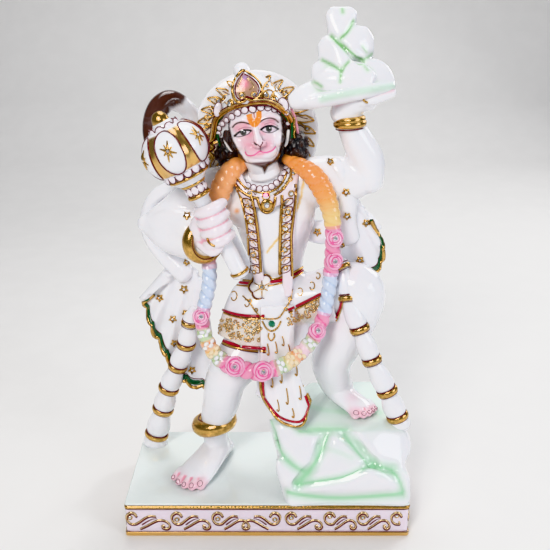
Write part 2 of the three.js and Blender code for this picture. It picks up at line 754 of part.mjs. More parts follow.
const statue = join([
  plinth(),
  rock(),
  ...legs(),
  limb(trunk, { sides: 11, round: 0 }),
  ...arms(),
  limb(headStations, { sides: 12, round: 0 }),
  ...face(),
  ...hair(),
  ...crown(),
  ...halo(),
  limb(tail, { sides: 6 }),
  ...mace(),
  ...Object.values(mountainBlocks).map(block),
  ...raisedHand(),
  ...shawl(),
  bells(leftStrapRims),
  bells(rightStrapRims),
  ...skirt(),
  frontPanel(),
  garland(),
  ...ornaments(),
]);

const statueMesh = statue.getMesh();
const statueGeometry = new THREE.BufferGeometry();
statueGeometry.setAttribute("position", new THREE.BufferAttribute(statueMesh.vertProperties, 3));
statueGeometry.setIndex(new THREE.BufferAttribute(statueMesh.triVerts, 1));

const group = new THREE.Group();
const figure = new THREE.Mesh(statueGeometry, marble);
figure.name = "marble_statue";
group.add(figure);

// Faceted stones: a flat back and a bevel up to the table, glued on the marble where a sight line
// from the front meets it. Each stands clear of the highest marble under its back. Those on the plinth
// are placed by shares of its half width and of its height.

const plinthStones = [
  [-0.96, 0.57], [-0.631, 0.51], [-0.345, 0.53], [0.055, 0.51], [0.169, 0.57], [0.439, 0.61], [0.67, 0.57],
  [0.907, 0.63],
];
const figureStones = [
  [-45, 844], [-22, 844], [-181, 766], [1, 622], [-3, 646, rosyCrystal], [-138, 405], [-64, 311],
  [-7, 305], [103, 376], [135, 567], [137, 520],
];
const stoneShape = new THREE.CylinderGeometry(
  (STONE_DIAMETER * STONE_TABLE) / 2,
  STONE_DIAMETER / 2,
  STONE_HEIGHT,
  STONE_FACETS,
);
stoneShape.translate(0, STONE_HEIGHT / 2, 0);

const sight = new THREE.Raycaster();

function marbleUnder(origin, direction) {
  sight.set(origin, direction);
  return sight.intersectObject(figure)[0];
}

// The marble that a line from the front meets, sought in widening rings where the line itself passes by

function marbleBehind(place) {
  const from = place.clone().setY(-PLINTH_DEPTH);
  for (let radius = 0; radius < 6 * STONE_DIAMETER; radius += STONE_DIAMETER / 2) {
    for (let k = 0; k < 8; k++) {
      const angle = (2 * Math.PI * k) / 8;
      const step = new THREE.Vector3(radius * Math.cos(angle), 0, radius * Math.sin(angle));
      const hit = marbleUnder(from.clone().add(step), BACK);
      if (hit) return hit;
    }
  }
  throw new Error("no marble near a stone's place");
}

function seated(place) {
  const hit = marbleBehind(place);
  const out = hit.face.normal;
  const turn = new THREE.Quaternion().setFromUnitVectors(BACK, out);
  const above = hit.point.clone().addScaledVector(out, 2 * STONE_DIAMETER);
  const rims = Array.from({ length: STONE_FACETS }, (_, k) => {
    const angle = (2 * Math.PI * k) / STONE_FACETS;
    const spoke = new THREE.Vector3(Math.sin(angle), 0, Math.cos(angle)).multiplyScalar(STONE_DIAMETER / 2);
    return marbleUnder(above.clone().add(spoke.applyQuaternion(turn)), out.clone().negate());
  });
  const nearest = Math.min(...rims.filter(Boolean).map((rim) => rim.distance), 2 * STONE_DIAMETER);
  return { turn, place: above.addScaledVector(out, STONE_SEAT_GAP - nearest) };
}

const stoneSites = [
  ...plinthStones.map(([x, z]) => [new THREE.Vector3((x * PLINTH_WIDTH) / 2, 0, z * PLINTH_HEIGHT)]),
  ...crownBosses.map((place) => [at(place)]),
  ...figureStones.map(([x, z, material]) => [at([x, 0, z]), material]),
];

stoneSites.forEach(([site, material = crystal], i) => {
  const stone = new THREE.Mesh(stoneShape, material);
  const { turn, place } = seated(site);
  stone.name = `stone_${String(i + 1).padStart(2, "0")}`;
  stone.quaternion.copy(turn);
  stone.position.copy(place);
  group.add(stone);
});

export default group;
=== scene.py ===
"""Painted and gilded marble hanuman figure on its plinth, set up for a studio picture."""

import logging
import math
import random
from dataclasses import dataclass, field
from enum import Enum
from typing import Callable, Sequence

import bmesh
import bpy
import numpy as np
from bmesh.types import BMEdge, BMVert
from mathutils import Matrix, Vector
from mathutils.bvhtree import BVHTree
from mathutils.kdtree import KDTree


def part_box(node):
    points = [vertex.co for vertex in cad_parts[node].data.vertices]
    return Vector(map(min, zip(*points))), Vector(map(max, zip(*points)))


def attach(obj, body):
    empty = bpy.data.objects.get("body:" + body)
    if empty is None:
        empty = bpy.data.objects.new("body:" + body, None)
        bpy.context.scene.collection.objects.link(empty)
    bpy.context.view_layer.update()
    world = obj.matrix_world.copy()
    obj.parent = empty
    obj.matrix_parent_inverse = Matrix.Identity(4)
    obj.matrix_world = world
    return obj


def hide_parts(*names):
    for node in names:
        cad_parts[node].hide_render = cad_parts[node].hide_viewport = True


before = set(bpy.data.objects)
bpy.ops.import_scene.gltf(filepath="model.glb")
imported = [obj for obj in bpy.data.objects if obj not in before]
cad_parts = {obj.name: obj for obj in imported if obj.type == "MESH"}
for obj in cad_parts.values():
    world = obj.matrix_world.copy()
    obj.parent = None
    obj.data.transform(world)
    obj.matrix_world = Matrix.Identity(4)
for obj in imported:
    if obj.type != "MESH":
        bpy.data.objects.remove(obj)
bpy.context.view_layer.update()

LOG = logging.getLogger("figure")

SHARE = 0.000283  # a thousandth of the figure's height
GROUND = 0.023  # top of the plinth
PLINTH_WIDTH = 0.174
PLINTH_DEPTH = 0.083
BACK = Vector((0.0, 1.0, 0.0))
UP = Vector((0.0, 0.0, 1.0))

Station = Sequence[float]
Colour = tuple[float, float, float]
Point = tuple[float, float]


class Paint(Enum):
    """Colours of the brushwork, linear."""

    MARBLE = (0.86, 0.86, 0.90)
    WARM = (0.88, 0.85, 0.84)
    PINK = (0.86, 0.36, 0.47)
    BLUSH = (0.88, 0.56, 0.65)
    ROSE = (0.86, 0.13, 0.37)
    PALE_ROSE = (0.93, 0.45, 0.64)
    ORANGE = (0.95, 0.33, 0.04)
    PEACH = (0.95, 0.42, 0.09)
    YELLOW = (0.90, 0.64, 0.24)
    BLUE = (0.52, 0.64, 0.83)
    MINT = (0.30, 0.66, 0.37)
    LIME = (0.42, 0.58, 0.24)
    PEARLY = (0.90, 0.74, 0.52)
    LEAF = (0.22, 0.52, 0.18)
    GREEN = (0.012, 0.11, 0.03)
    MAROON = (0.16, 0.008, 0.02)
    RED = (0.46, 0.006, 0.03)
    BROWN = (0.065, 0.018, 0.008)
    BLACK = (0.006, 0.005, 0.007)
    GOLD = (0.80, 0.50, 0.17)
    PALE_GOLD = (0.93, 0.70, 0.38)
    LILAC = (0.80, 0.71, 0.80)
    VIOLET = (0.42, 0.24, 0.60)
    BRONZE = (0.62, 0.34, 0.20)
    IRIS = (0.085, 0.10, 0.08)


# Measures


def at(x: float, y: float, z: float) -> Vector:
    """Turn thousandths of the figure's height into metres.

    Args:
        x: Across, from the middle of the plinth.
        y: Back, from the middle of the plinth.
        z: Up, from the top of the plinth.

    Returns:
        The place in the frame.
    """
    return Vector((x * SHARE, y * SHARE, GROUND + z * SHARE))


def flow(stations: Sequence[Station], steps: int) -> np.ndarray:
    """Run a smooth line through stations.

    Args:
        stations: Rows of numbers, each a place and its widths.
        steps: Rows made for each stretch between two stations.

    Returns:
        The finer rows.
    """
    rows = np.array(stations, dtype=float)
    ends = np.vstack([2 * rows[0] - rows[1], rows, 2 * rows[-1] - rows[-2]])
    out = []
    for i in range(len(rows) - 1):
        a, b, c, d = ends[i : i + 4]
        for t in (step / steps for step in range(steps)):
            bend = (2 * a - 5 * b + 4 * c - d) * t * t + (3 * b - a - 3 * c + d) * t**3
            out.append(0.5 * (2 * b + (c - a) * t + bend))
    out.append(rows[-1])
    return np.array(out)


def eased(points: Sequence[Point]) -> list[Point]:
    """Picture points of a line, made finer where it bends."""
    return [tuple(p) for p in flow(points, 5)] if len(points) > 2 else list(points)


def track(places: Sequence[Vector], steps: int) -> list[Vector]:
    """Run a smooth line through places in metres."""
    return [Vector(row) for row in flow([tuple(place) for place in places], steps)]


def lengths(places: Sequence[Vector]) -> np.ndarray:
    """Length run along a line up to each of its places."""
    steps = np.linalg.norm(np.diff(np.array(places), axis=0), axis=1)
    return np.concatenate([[0.0], np.cumsum(steps)])


def oval(stand: Matrix, wide: float, tall: float, height: float, count: int) -> list[Vector]:
    """Places round an ellipse.

    Args:
        stand: The frame that it lies across.
        wide: Half width along X, in metres.
        tall: Half width along Y, in metres.
        height: Height over the frame's origin, in metres.
        count: Number of places.

    Returns:
        The places.
    """
    turns = (math.tau * k / count for k in range(count))
    return [stand @ Vector((wide * math.cos(a), tall * math.sin(a), height)) for a in turns]


def ramp(values: np.ndarray, low: float, high: float) -> np.ndarray:
    """Rise smoothly from 0 at low to 1 at high."""
    t = np.clip((values - low) / (high - low), 0.0, 1.0)
    return t * t * (3 - 2 * t)


def axes(origin: Vector, along: Vector, deep: Vector = BACK) -> Matrix:
    """A frame with Z along a direction and Y as near deep as it can be.

    Args:
        origin: Where the frame sits.
        along: Direction of its Z.
        deep: Direction that its Y leans to.

    Returns:
        The frame as a matrix.
    """
    t = along.normalized()
    d = deep - t * deep.dot(t)
    if d.length < 0.05:
        d = UP - t * UP.dot(t)
    d.normalize()
    w = d.cross(t)
    out = Matrix((w, d, t)).transposed().to_4x4()
    out.translation = origin
    return out


@dataclass(frozen=True)
class Sight:
    """The viewpoint, as a pinhole over a picture 550 units wide."""

    eye: Vector
    pitch: float
    reach: float = 750.0
    middle: float = 275.0

    def ray(self, u: float, v: float) -> Vector:
        """Direction of the sight line through a picture point."""
        c, s = math.cos(self.pitch), math.sin(self.pitch)
        across, down = (u - self.middle) / self.reach, (v - self.middle) / self.reach
        return Vector((across, c - s * down, -s - c * down)).normalized()

    def seen(self, places: np.ndarray) -> np.ndarray:
        """Picture points of places in the frame, one row each."""
        c, s = math.cos(self.pitch), math.sin(self.pitch)
        off = places - np.array(self.eye)
        away = off[:, 1] * c - off[:, 2] * s
        above = off[:, 1] * s + off[:, 2] * c
        return np.stack(
            [self.middle + self.reach * off[:, 0] / away, self.middle - self.reach * above / away], axis=1
        )


SIGHT = Sight(Vector((0.00483, -0.41940, 0.30788)), math.radians(19.968))


# Modelling


class Clay:
    """Closed forms gathered in one mesh under work."""

    def __init__(self) -> None:
        """Start with an empty mesh."""
        self.bm = bmesh.new()

    def _loop(self, matrix: Matrix, sides: int, shape: Callable[[float], float] | None) -> list[BMEdge]:
        """Add one section.

        Args:
            matrix: Its frame, X and Y being the half widths.
            sides: Edges in it.
            shape: Scale of a point from its angle.

        Returns:
            Its edges.
        """
        made = bmesh.ops.create_circle(self.bm, cap_ends=False, segments=sides, radius=1.0, matrix=matrix)
        verts: list[BMVert] = made["verts"]
        if shape:
            back = matrix.inverted()
            for v in verts:
                flat = back @ v.co
                v.co = matrix @ (flat * shape(math.atan2(flat.y, flat.x)))
        return list({e for v in verts for e in v.link_edges})

    def skin(
        self, matrices: Sequence[Matrix], sides: int, shape: Callable[[float, int], float] | None = None
    ) -> None:
        """Bridge a row of sections and close both ends.

        Args:
            matrices: One frame for each section, its X and Y the half widths.
            sides: Edges in a section.
            shape: Scale of a section point from its angle and the section's number.
        """
        loops = [
            self._loop(m, sides, (lambda angle, i=i: shape(angle, i)) if shape else None)
            for i, m in enumerate(matrices)
        ]
        for first, second in zip(loops, loops[1:]):
            bmesh.ops.bridge_loops(self.bm, edges=first + second)
        for end in (loops[0], loops[-1]):
            bmesh.ops.edgeloop_fill(self.bm, edges=end)

    def limb(
        self,
        stations: Sequence[Station],
        sides: int = 20,
        deep: Vector = BACK,
        steps: int = 4,
        cap: float = 1.0,
        shape: Callable[[float, float], float] | None = None,
    ) -> "Clay":
        """A tube of elliptical sections with rounded ends.

        Args:
            stations: Rows of x, y, z, half width and half depth, in figure units.
            sides: Edges in a section.
            deep: Direction that the half depth leans to.
            steps: Sections for each stretch.
            cap: How far the ends bulge, as a share of the end's radius.
            shape: Scale of a section point from its angle and the share of the length.

        Returns:
            This clay.
        """
        line = flow(stations, steps)
        centres = [at(*row[:3]) for row in line]
        sections: list[tuple[Matrix, float, float]] = []
        last = len(line) - 1
        for i, row in enumerate(line):
            along = centres[min(i + 1, last)] - centres[max(i - 1, 0)]
            width, depth = (max(0.6, value) * SHARE for value in row[3:5])
            sections.append((axes(centres[i], along, deep), width, depth))
        out = [(m, w, d, i / last) for i, (m, w, d) in enumerate(sections)]
        if cap > 0:
            rounds = [math.radians(a) for a in (30, 52, 70)]
            for sign, place in ((-1, 0), (1, -1)):
                m, w, d = sections[place]
                reach = cap * min(w, d)
                rings = [
                    (
                        Matrix.Translation(m.col[2].to_3d() * sign * reach * math.sin(a)) @ m,
                        w * math.cos(a),
                        d * math.cos(a),
                        float(place == -1),
                    )
                    for a in rounds
                ]
                out = rings[::-1] + out if sign < 0 else out + rings
        self.skin(
            [m @ Matrix.Diagonal((w, d, 1.0, 1.0)) for m, w, d, _ in out],
            sides,
            (lambda angle, i: shape(angle, out[i][3])) if shape else None,
        )
        return self

    def ball(
        self, place: Station, size: Station, sides: int = 20, tilt: float = 0.0, lean: float = 0.0
    ) -> "Clay":
        """An ellipsoid.

        Args:
            place: Its middle, in figure units.
            size: Half sizes in x, y and z, in figure units.
            sides: Edges round its middle.
            tilt: Turn about the Y axis, in degrees.
            lean: Turn about the X axis, in degrees.

        Returns:
            This clay.
        """
        turn = Matrix.Rotation(math.radians(tilt), 4, "Y") @ Matrix.Rotation(math.radians(lean), 4, "X")
        matrix = Matrix.Translation(at(*place)) @ turn @ Matrix.Diagonal([s * SHARE for s in size] + [1.0])
        bmesh.ops.create_uvsphere(
            self.bm, u_segments=sides, v_segments=max(6, sides * 2 // 3), radius=1.0, matrix=matrix
        )
        return self

    def boulder(self, points: Sequence[Station]) -> "Clay":
        """The convex body round a few points, in figure units."""
        verts = [self.bm.verts.new(at(*p)) for p in points]
        made = bmesh.ops.convex_hull(self.bm, input=verts)
        loose = {g for g in made["geom_interior"] + made["geom_unused"] if isinstance(g, BMVert)}
        bmesh.ops.delete(self.bm, geom=list(loose), context="VERTS")
        return self

    def _spun(self, verts: list[BMVert], edges: list[BMEdge], steps: int, weld: bool) -> list[BMVert]:
        """Spin a line full circle about the Z axis.

        Args:
            verts: Points of the line.
            edges: Edges of the line.
            steps: Steps of the turn.
            weld: Merge the points that meet on the axis.

        Returns:
            Every point of the new body.
        """
        bmesh.ops.spin(
            self.bm,
            geom=verts + edges,
            cent=(0, 0, 0),
            axis=(0, 0, 1),
            angle=math.tau,
            steps=steps,
            use_merge=True,
        )
        touched = {v for v in verts if v.is_valid}
        fringe = list(touched)
        while fringe:
            for v in (v for edge in fringe.pop().link_edges for v in edge.verts):
                if v not in touched:
                    touched.add(v)
                    fringe.append(v)
        if weld:
            bmesh.ops.remove_doubles(self.bm, verts=list(touched), dist=1e-7)
        return [v for v in touched if v.is_valid]

    def turned(
        self,
        profile: Sequence[Point],
        matrix: Matrix,
        sides: int = 32,
        shape: Callable[[float], float] | None = None,
    ) -> "Clay":
        """A body turned about the Z axis of a frame.

        Args:
            profile: Radius and height pairs in metres, bottom to top.
            matrix: The frame it stands in.
            sides: Steps of the turn.
            shape: Scale of the radius from the angle.

        Returns:
            This clay.
        """
        rows = [(0.0, profile[0][1]), *profile, (0.0, profile[-1][1])]
        verts = [self.bm.verts.new((r, 0.0, h)) for r, h in rows]
        edges = [self.bm.edges.new(pair) for pair in zip(verts, verts[1:])]
        for v in self._spun(verts, edges, sides, weld=True):
            scale = shape(math.atan2(v.co.y, v.co.x)) if shape else 1.0
            v.co = matrix @ Vector((v.co.x * scale, v.co.y * scale, v.co.z))
        return self

    def ring(
        self, matrix: Matrix, radius: float, tube: float, flat: float = 1.0, sides: int = 40
    ) -> "Clay":
        """A closed hoop about the Z axis of a frame.

        Args:
            matrix: The frame it lies in.
            radius: Radius of the hoop, in metres.
            tube: Radius of its section, in metres.
            flat: Section height as a share of its width.
            sides: Steps round the hoop.

        Returns:
            This clay.
        """
        start = Matrix.Translation((radius, 0, 0)) @ Matrix.Rotation(math.pi / 2, 4, "X")
        section = start @ Matrix.Diagonal((1.0, flat, 1.0, 1.0))
        verts = bmesh.ops.create_circle(self.bm, segments=10, radius=tube, matrix=section)["verts"]
        edges = list({e for v in verts for e in v.link_edges})
        for v in self._spun(verts, edges, sides, weld=False):
            v.co = matrix @ v.co
        return self

    def bead(self, stand: Matrix, size: Station, sides: int = 14, rings: int = 9) -> "Clay":
        """A flattened bead.

        Args:
            stand: The frame it lies in, Z being the way that it looks.
            size: Half sizes along X, Y and Z, in metres.
            sides: Edges round it.
            rings: Steps from pole to pole.

        Returns:
            This clay.
        """
        matrix = stand @ Matrix.Diagonal((*size, 1.0))
        bmesh.ops.create_uvsphere(self.bm, u_segments=sides, v_segments=rings, radius=1.0, matrix=matrix)
        return self

    def sheet(
        self, surface: Callable[[float, float], Vector], across: int, down: int, thick: float
    ) -> "Clay":
        """A thick cloth.

        Args:
            surface: Place of the cloth from its shares across and down.
            across: Cells across.
            down: Cells down.
            thick: Thickness in metres.

        Returns:
            This clay.
        """
        made = bmesh.ops.create_grid(self.bm, x_segments=across, y_segments=down, size=0.5)
        verts = made["verts"]
        for v in verts:
            v.co = surface(v.co.x + 0.5, 0.5 - v.co.y)
        faces = list({f for v in verts for f in v.link_faces})
        bmesh.ops.recalc_face_normals(self.bm, faces=faces)
        if sum(f.normal.y for f in faces) > 0:
            bmesh.ops.reverse_faces(self.bm, faces=faces)
        tree = KDTree(len(verts))
        for i, v in enumerate(verts):
            tree.insert(v.co, i)
        tree.balance()
        made = bmesh.ops.solidify(self.bm, geom=faces, thickness=thick)
        for v in {g for g in made["geom"] if isinstance(g, BMVert)}:
            near, _, reach = tree.find(v.co)
            if reach > thick * 1.3:
                v.co = near + (v.co - near) * (thick * 1.3 / reach)
        return self

    def settle(self, name: str, smooth: bool = True) -> bpy.types.Object:
        """Close the work into an object.

        Args:
            name: Name of the piece.
            smooth: Shade it smooth.

        Returns:
            The new object.
        """
        bmesh.ops.recalc_face_normals(self.bm, faces=self.bm.faces[:])
        mesh = bpy.data.meshes.new(name)
        self.bm.to_mesh(mesh)
        self.bm.free()
        mesh.shade_smooth() if smooth else mesh.shade_flat()
        piece = bpy.data.objects.new(name, mesh)
        bpy.context.scene.collection.objects.link(piece)
        return piece

    def fuse(self, name: str, grain: float, ease: int, swell: float = 0.0) -> bpy.types.Object:
        """Melt the forms into one skin.

        Args:
            name: Name of the piece.
            grain: Cell of the skin, in metres.
            ease: Smoothing passes.
            swell: How far the eased skin is pushed out again, in metres.

        Returns:
            The new object.
        """
        piece = self.settle(name)
        remesh = piece.modifiers.new("fuse", "REMESH")
        remesh.mode = "VOXEL"
        remesh.voxel_size = grain
        remesh.use_smooth_shade = True
        if ease:
            relax = piece.modifiers.new("ease", "SMOOTH")
            relax.factor = 0.5
            relax.iterations = ease
        if swell:
            push = piece.modifiers.new("swell", "DISPLACE")
            push.mid_level = 0.0
            push.strength = swell
        return harden(piece)


def harden(piece: bpy.types.Object) -> bpy.types.Object:
    """Turn an object's modifiers or curve into plain mesh.

    Args:
        piece: Object to settle.

    Returns:
        The same object, or the mesh object that takes its place.
    """
    bpy.context.view_layer.update()
    graph = bpy.context.evaluated_depsgraph_get()
    mesh = bpy.data.meshes.new_from_object(piece.evaluated_get(graph))
    if piece.type == "MESH":
        piece.modifiers.clear()
        piece.data = mesh
        return piece
    name = piece.name
    bpy.data.objects.remove(piece)
    mesh.name = name
    out = bpy.data.objects.new(name, mesh)
    bpy.context.scene.collection.objects.link(out)
    return out


# Brushwork


class Canvas:
    """Brushwork on a piece, kept as a colour and a gilding value at each vertex."""

    def __init__(self, piece: bpy.types.Object, ground: Paint = Paint.MARBLE) -> None:
        """Take a piece up, washed in its ground colour."""
        self.piece = piece
        mesh = piece.data
        count = len(mesh.vertices)
        self.mesh = mesh
        self.co = np.empty(count * 3)
        mesh.vertices.foreach_get("co", self.co)
        self.co = self.co.reshape(-1, 3)
        normal = np.empty(count * 3)
        mesh.vertex_normals.foreach_get("vector", normal)
        self.normal = normal.reshape(-1, 3)
        self.k = (self.co - np.array([0.0, 0.0, GROUND])) / SHARE
        self.px = SIGHT.seen(self.co)
        view = np.array(SIGHT.eye) - self.co
        view /= np.linalg.norm(view, axis=1)[:, None]
        self.front = ramp((self.normal * view).sum(axis=1), 0.02, 0.2)
        self.colour = np.tile(np.array(ground.value), (count, 1))
        self.gilt = np.zeros(count)

    def lay(self, mask: np.ndarray, paint: Paint, gilt: float = 0.0) -> "Canvas":
        """Brush a colour on through a mask."""
        mask = np.clip(mask, 0.0, 1.0)
        self.colour += (np.array(paint.value) - self.colour) * mask[:, None]
        self.gilt += (gilt - self.gilt) * mask
        return self

    def away(self, points: Sequence[Point]) -> np.ndarray:
        """Distance of each vertex from a picture line."""
        out = np.full(len(self.px), 1e9)
        line = [np.array(p, dtype=float) for p in points]
        if len(line) == 1:
            return np.linalg.norm(self.px - line[0], axis=1)
        for a, b in zip(line, line[1:]):
            span = b - a
            t = np.clip(((self.px - a) @ span) / max(span @ span, 1e-9), 0.0, 1.0)
            out = np.minimum(out, np.linalg.norm(self.px - a - t[:, None] * span, axis=1))
        return out

    def inside(self, corners: Sequence[Point], soft: float = 0.8) -> np.ndarray:
        """1 within a picture outline, falling to 0 across its soft edge."""
        x, y = self.px[:, 0], self.px[:, 1]
        odd = np.zeros(len(x), dtype=bool)
        ring = list(corners)
        for (x0, y0), (x1, y1) in zip(ring, ring[1:] + ring[:1]):
            if y0 == y1:
                continue
            cross = (y0 > y) != (y1 > y)
            odd ^= cross & (x < x0 + (y - y0) * (x1 - x0) / (y1 - y0))
        edge = self.away(ring + ring[:1])
        return np.where(odd, 0.5 + edge / (2 * soft), 0.5 - edge / (2 * soft)).clip(0, 1)

    def line(
        self,
        points: Sequence[Point],
        width: float,
        paint: Paint,
        soft: float = 0.7,
        strength: float = 1.0,
        gilt: float = 0.0,
    ) -> "Canvas":
        """Brush a line through picture points, on the side that faces the viewer.

        Args:
            points: The picture points.
            width: Its width, in picture units.
            paint: Its colour.
            soft: Width of its soft edge.
            strength: Share of the colour that is laid on.
            gilt: How much of a metal it is.

        Returns:
            This canvas.
        """
        reach = self.away(eased(points))
        mask = ramp(-reach, -(width / 2 + soft), -max(width / 2 - soft / 2, 0.0))
        return self.lay(self.front * strength * mask, paint, gilt)

    def carve(self, points: Sequence[Point], width: float, depth: float) -> "Canvas":
        """Sink the surface along a picture line, on the side that faces the viewer."""
        sink = self.front * ramp(-self.away(eased(points)), -width, 0.0) * depth
        self.co -= self.normal * sink[:, None]
        self.mesh.vertices.foreach_set("co", self.co.ravel())
        self.mesh.update()
        return self

    def fill(
        self,
        corners: Sequence[Point],
        paint: Paint,
        strength: float | np.ndarray = 1.0,
        soft: float = 0.5,
    ) -> "Canvas":
        """Fill a picture outline, on the side that faces the viewer.

        Args:
            corners: The outline.
            paint: Its colour.
            strength: Share of the colour that is laid on.
            soft: Width of its soft edge, in picture units.

        Returns:
            This canvas.
        """
        return self.lay(strength * self.front * self.inside(corners, soft), paint)

    def dot(
        self,
        centre: Point,
        radius: float,
        paint: Paint,
        strength: float,
        soft: float,
        within: float | np.ndarray = 1.0,
    ) -> "Canvas":
        """Set a round spot at a picture point.

        Args:
            centre: The picture point.
            radius: Its radius, in picture units.
            paint: Its colour.
            strength: Share of the colour that is laid on.
            soft: Width of its soft edge.
            within: Mask that it is held to.

        Returns:
            This canvas.
        """
        mask = ramp(-self.away([centre]), -radius, soft - radius)
        return self.lay(self.front * strength * mask * within, paint)

    def glow(self, centre: Point, radius: float, paint: Paint, strength: float = 1.0) -> "Canvas":
        """A soft round wash at a picture point."""
        return self.dot(centre, radius, paint, strength, radius)

    def stain(
        self, passes: int, low: float, high: float, paint: Paint, strength: float | np.ndarray
    ) -> None:
        """Let colour run into the hollows.

        Args:
            passes: Smoothing passes that the depth is measured against.
            low: Depth where it starts, in metres.
            high: Depth where it is full, in metres.
            paint: Its colour.
            strength: Share of the colour that is laid on.
        """
        self.lay(strength * ramp(hollows(self, passes), low, high), paint)

    def near(self, place: Station, radius: float) -> np.ndarray:
        """1 at a place in figure units, falling to 0 at the radius."""
        return ramp(-np.linalg.norm(self.k - np.array(place), axis=1), -radius, 0.0)

    def dry(self) -> None:
        """Store the brushwork on the mesh."""
        paint = self.mesh.attributes.new("paint", "FLOAT_COLOR", "POINT")
        rgba = np.ones((len(self.colour), 4))
        rgba[:, :3] = self.colour
        paint.data.foreach_set("color", rgba.ravel())
        gilt = self.mesh.attributes.new("gilt", "FLOAT", "POINT")
        gilt.data.foreach_set("value", self.gilt)


class Surface:
    """Skins that sight lines and seats are found on."""

    def __init__(self, *pieces: bpy.types.Object) -> None:
        """Take up the skins of some pieces."""
        bpy.context.view_layer.update()
        graph = bpy.context.evaluated_depsgraph_get()
        self.trees = [BVHTree.FromObject(p, graph) for p in pieces]

    def along(self, start: Vector, way: Vector) -> tuple[Vector, Vector] | None:
        """First place and normal that a line meets."""
        best = None
        for tree in self.trees:
            place, normal, _, far = tree.ray_cast(start, way)
            if place is not None and (best is None or far < best[2]):
                best = (place, normal, far)
        return (best[0], best[1]) if best else None

    def meet(self, u: float, v: float) -> tuple[Vector, Vector] | None:
        """Place and normal that the viewer sees at a picture point."""
        return self.along(SIGHT.eye, SIGHT.ray(u, v))

    def drop(self, place: Vector) -> Vector:
        """The place on the front of a cloth beside a place within it."""
        hit = self.along(place + Vector((0, -0.02, 0)), BACK)
        return hit[0] if hit and abs(hit[0].y - place.y) < 0.006 else self.close(place)[0]

    def close(self, place: Vector) -> tuple[Vector, Vector]:
        """Nearest place and normal."""
        best = min((tree.find_nearest(place) for tree in self.trees), key=lambda hit: hit[3])
        return best[0], best[1]


# Materials


class Shade:
    """A shader value that takes ordinary arithmetic."""

    def __init__(self, tree: bpy.types.NodeTree, socket: bpy.types.NodeSocket) -> None:
        """Hold one output of a node."""
        self.tree = tree
        self.socket = socket

    def wire(self, target: bpy.types.NodeSocket, value: object) -> None:
        """Join a value or a shade to an input."""
        if isinstance(value, Shade):
            self.tree.links.new(value.socket, target)
        else:
            target.default_value = value

    def node(self, kind: str, settings: dict, inputs: dict, out: int | str = 0) -> "Shade":
        """Add any node.

        Args:
            kind: Node type.
            settings: Its own properties.
            inputs: Values or shades by input name or number.
            out: Output to carry on with.

        Returns:
            The output as a shade.
        """
        made = self.tree.nodes.new(kind)
        for name, value in settings.items():
            setattr(made, name, value)
        for name, value in inputs.items():
            self.wire(made.inputs[name], value)
        return Shade(self.tree, made.outputs[out])

    def _maths(self, operation: str, a: object, b: object) -> "Shade":
        """Work two values out with one maths node."""
        return self.node("ShaderNodeMath", {"operation": operation}, {0: a, 1: b})

    def __add__(self, other: object) -> "Shade":
        """Add a value."""
        return self._maths("ADD", self, other)

    def __radd__(self, other: object) -> "Shade":
        """Add to a value."""
        return self._maths("ADD", other, self)

    def __sub__(self, other: object) -> "Shade":
        """Take a value away."""
        return self._maths("SUBTRACT", self, other)

    def __rsub__(self, other: object) -> "Shade":
        """Take away from a value."""
        return self._maths("SUBTRACT", other, self)

    def __mul__(self, other: object) -> "Shade":
        """Multiply by a value."""
        return self._maths("MULTIPLY", self, other)

    def __rmul__(self, other: object) -> "Shade":
        """Multiply a value."""
        return self._maths("MULTIPLY", other, self)

    def __abs__(self) -> "Shade":
        """Drop the sign."""
        return self.node("ShaderNodeMath", {"operation": "ABSOLUTE"}, {0: self})

    def between(self, low: float, high: float) -> "Shade":
        """Rise from 0 at low to 1 at high."""
        return self.node(
            "ShaderNodeMapRange",
            {"interpolation_type": "SMOOTHSTEP"},
            {"Value": self, "From Min": low, "From Max": high},
        )

    def mix(self, a: object, b: object) -> "Shade":
        """Blend two colours, this value being the share of the second."""
        return self.node("ShaderNodeMix", {"data_type": "RGBA"}, {0: self, 6: a, 7: b}, 2)

    def noise(self, scale: float, detail: float, **more: float) -> "Shade":
        """Cloudy noise over this place."""
        return self.node("ShaderNodeTexNoise", {}, {"Vector": self, "Scale": scale, "Detail": detail, **more})

    def kept(self, name: str, out: str) -> "Shade":
        """A value that is kept at the vertices."""
        return self.node("ShaderNodeAttribute", {"attribute_name": name}, {}, out)


SEAM_TINT = (0.55, 0.58, 0.66, 1.0)
CLOUD_TINT = (0.8, 0.78, 0.84, 1.0)


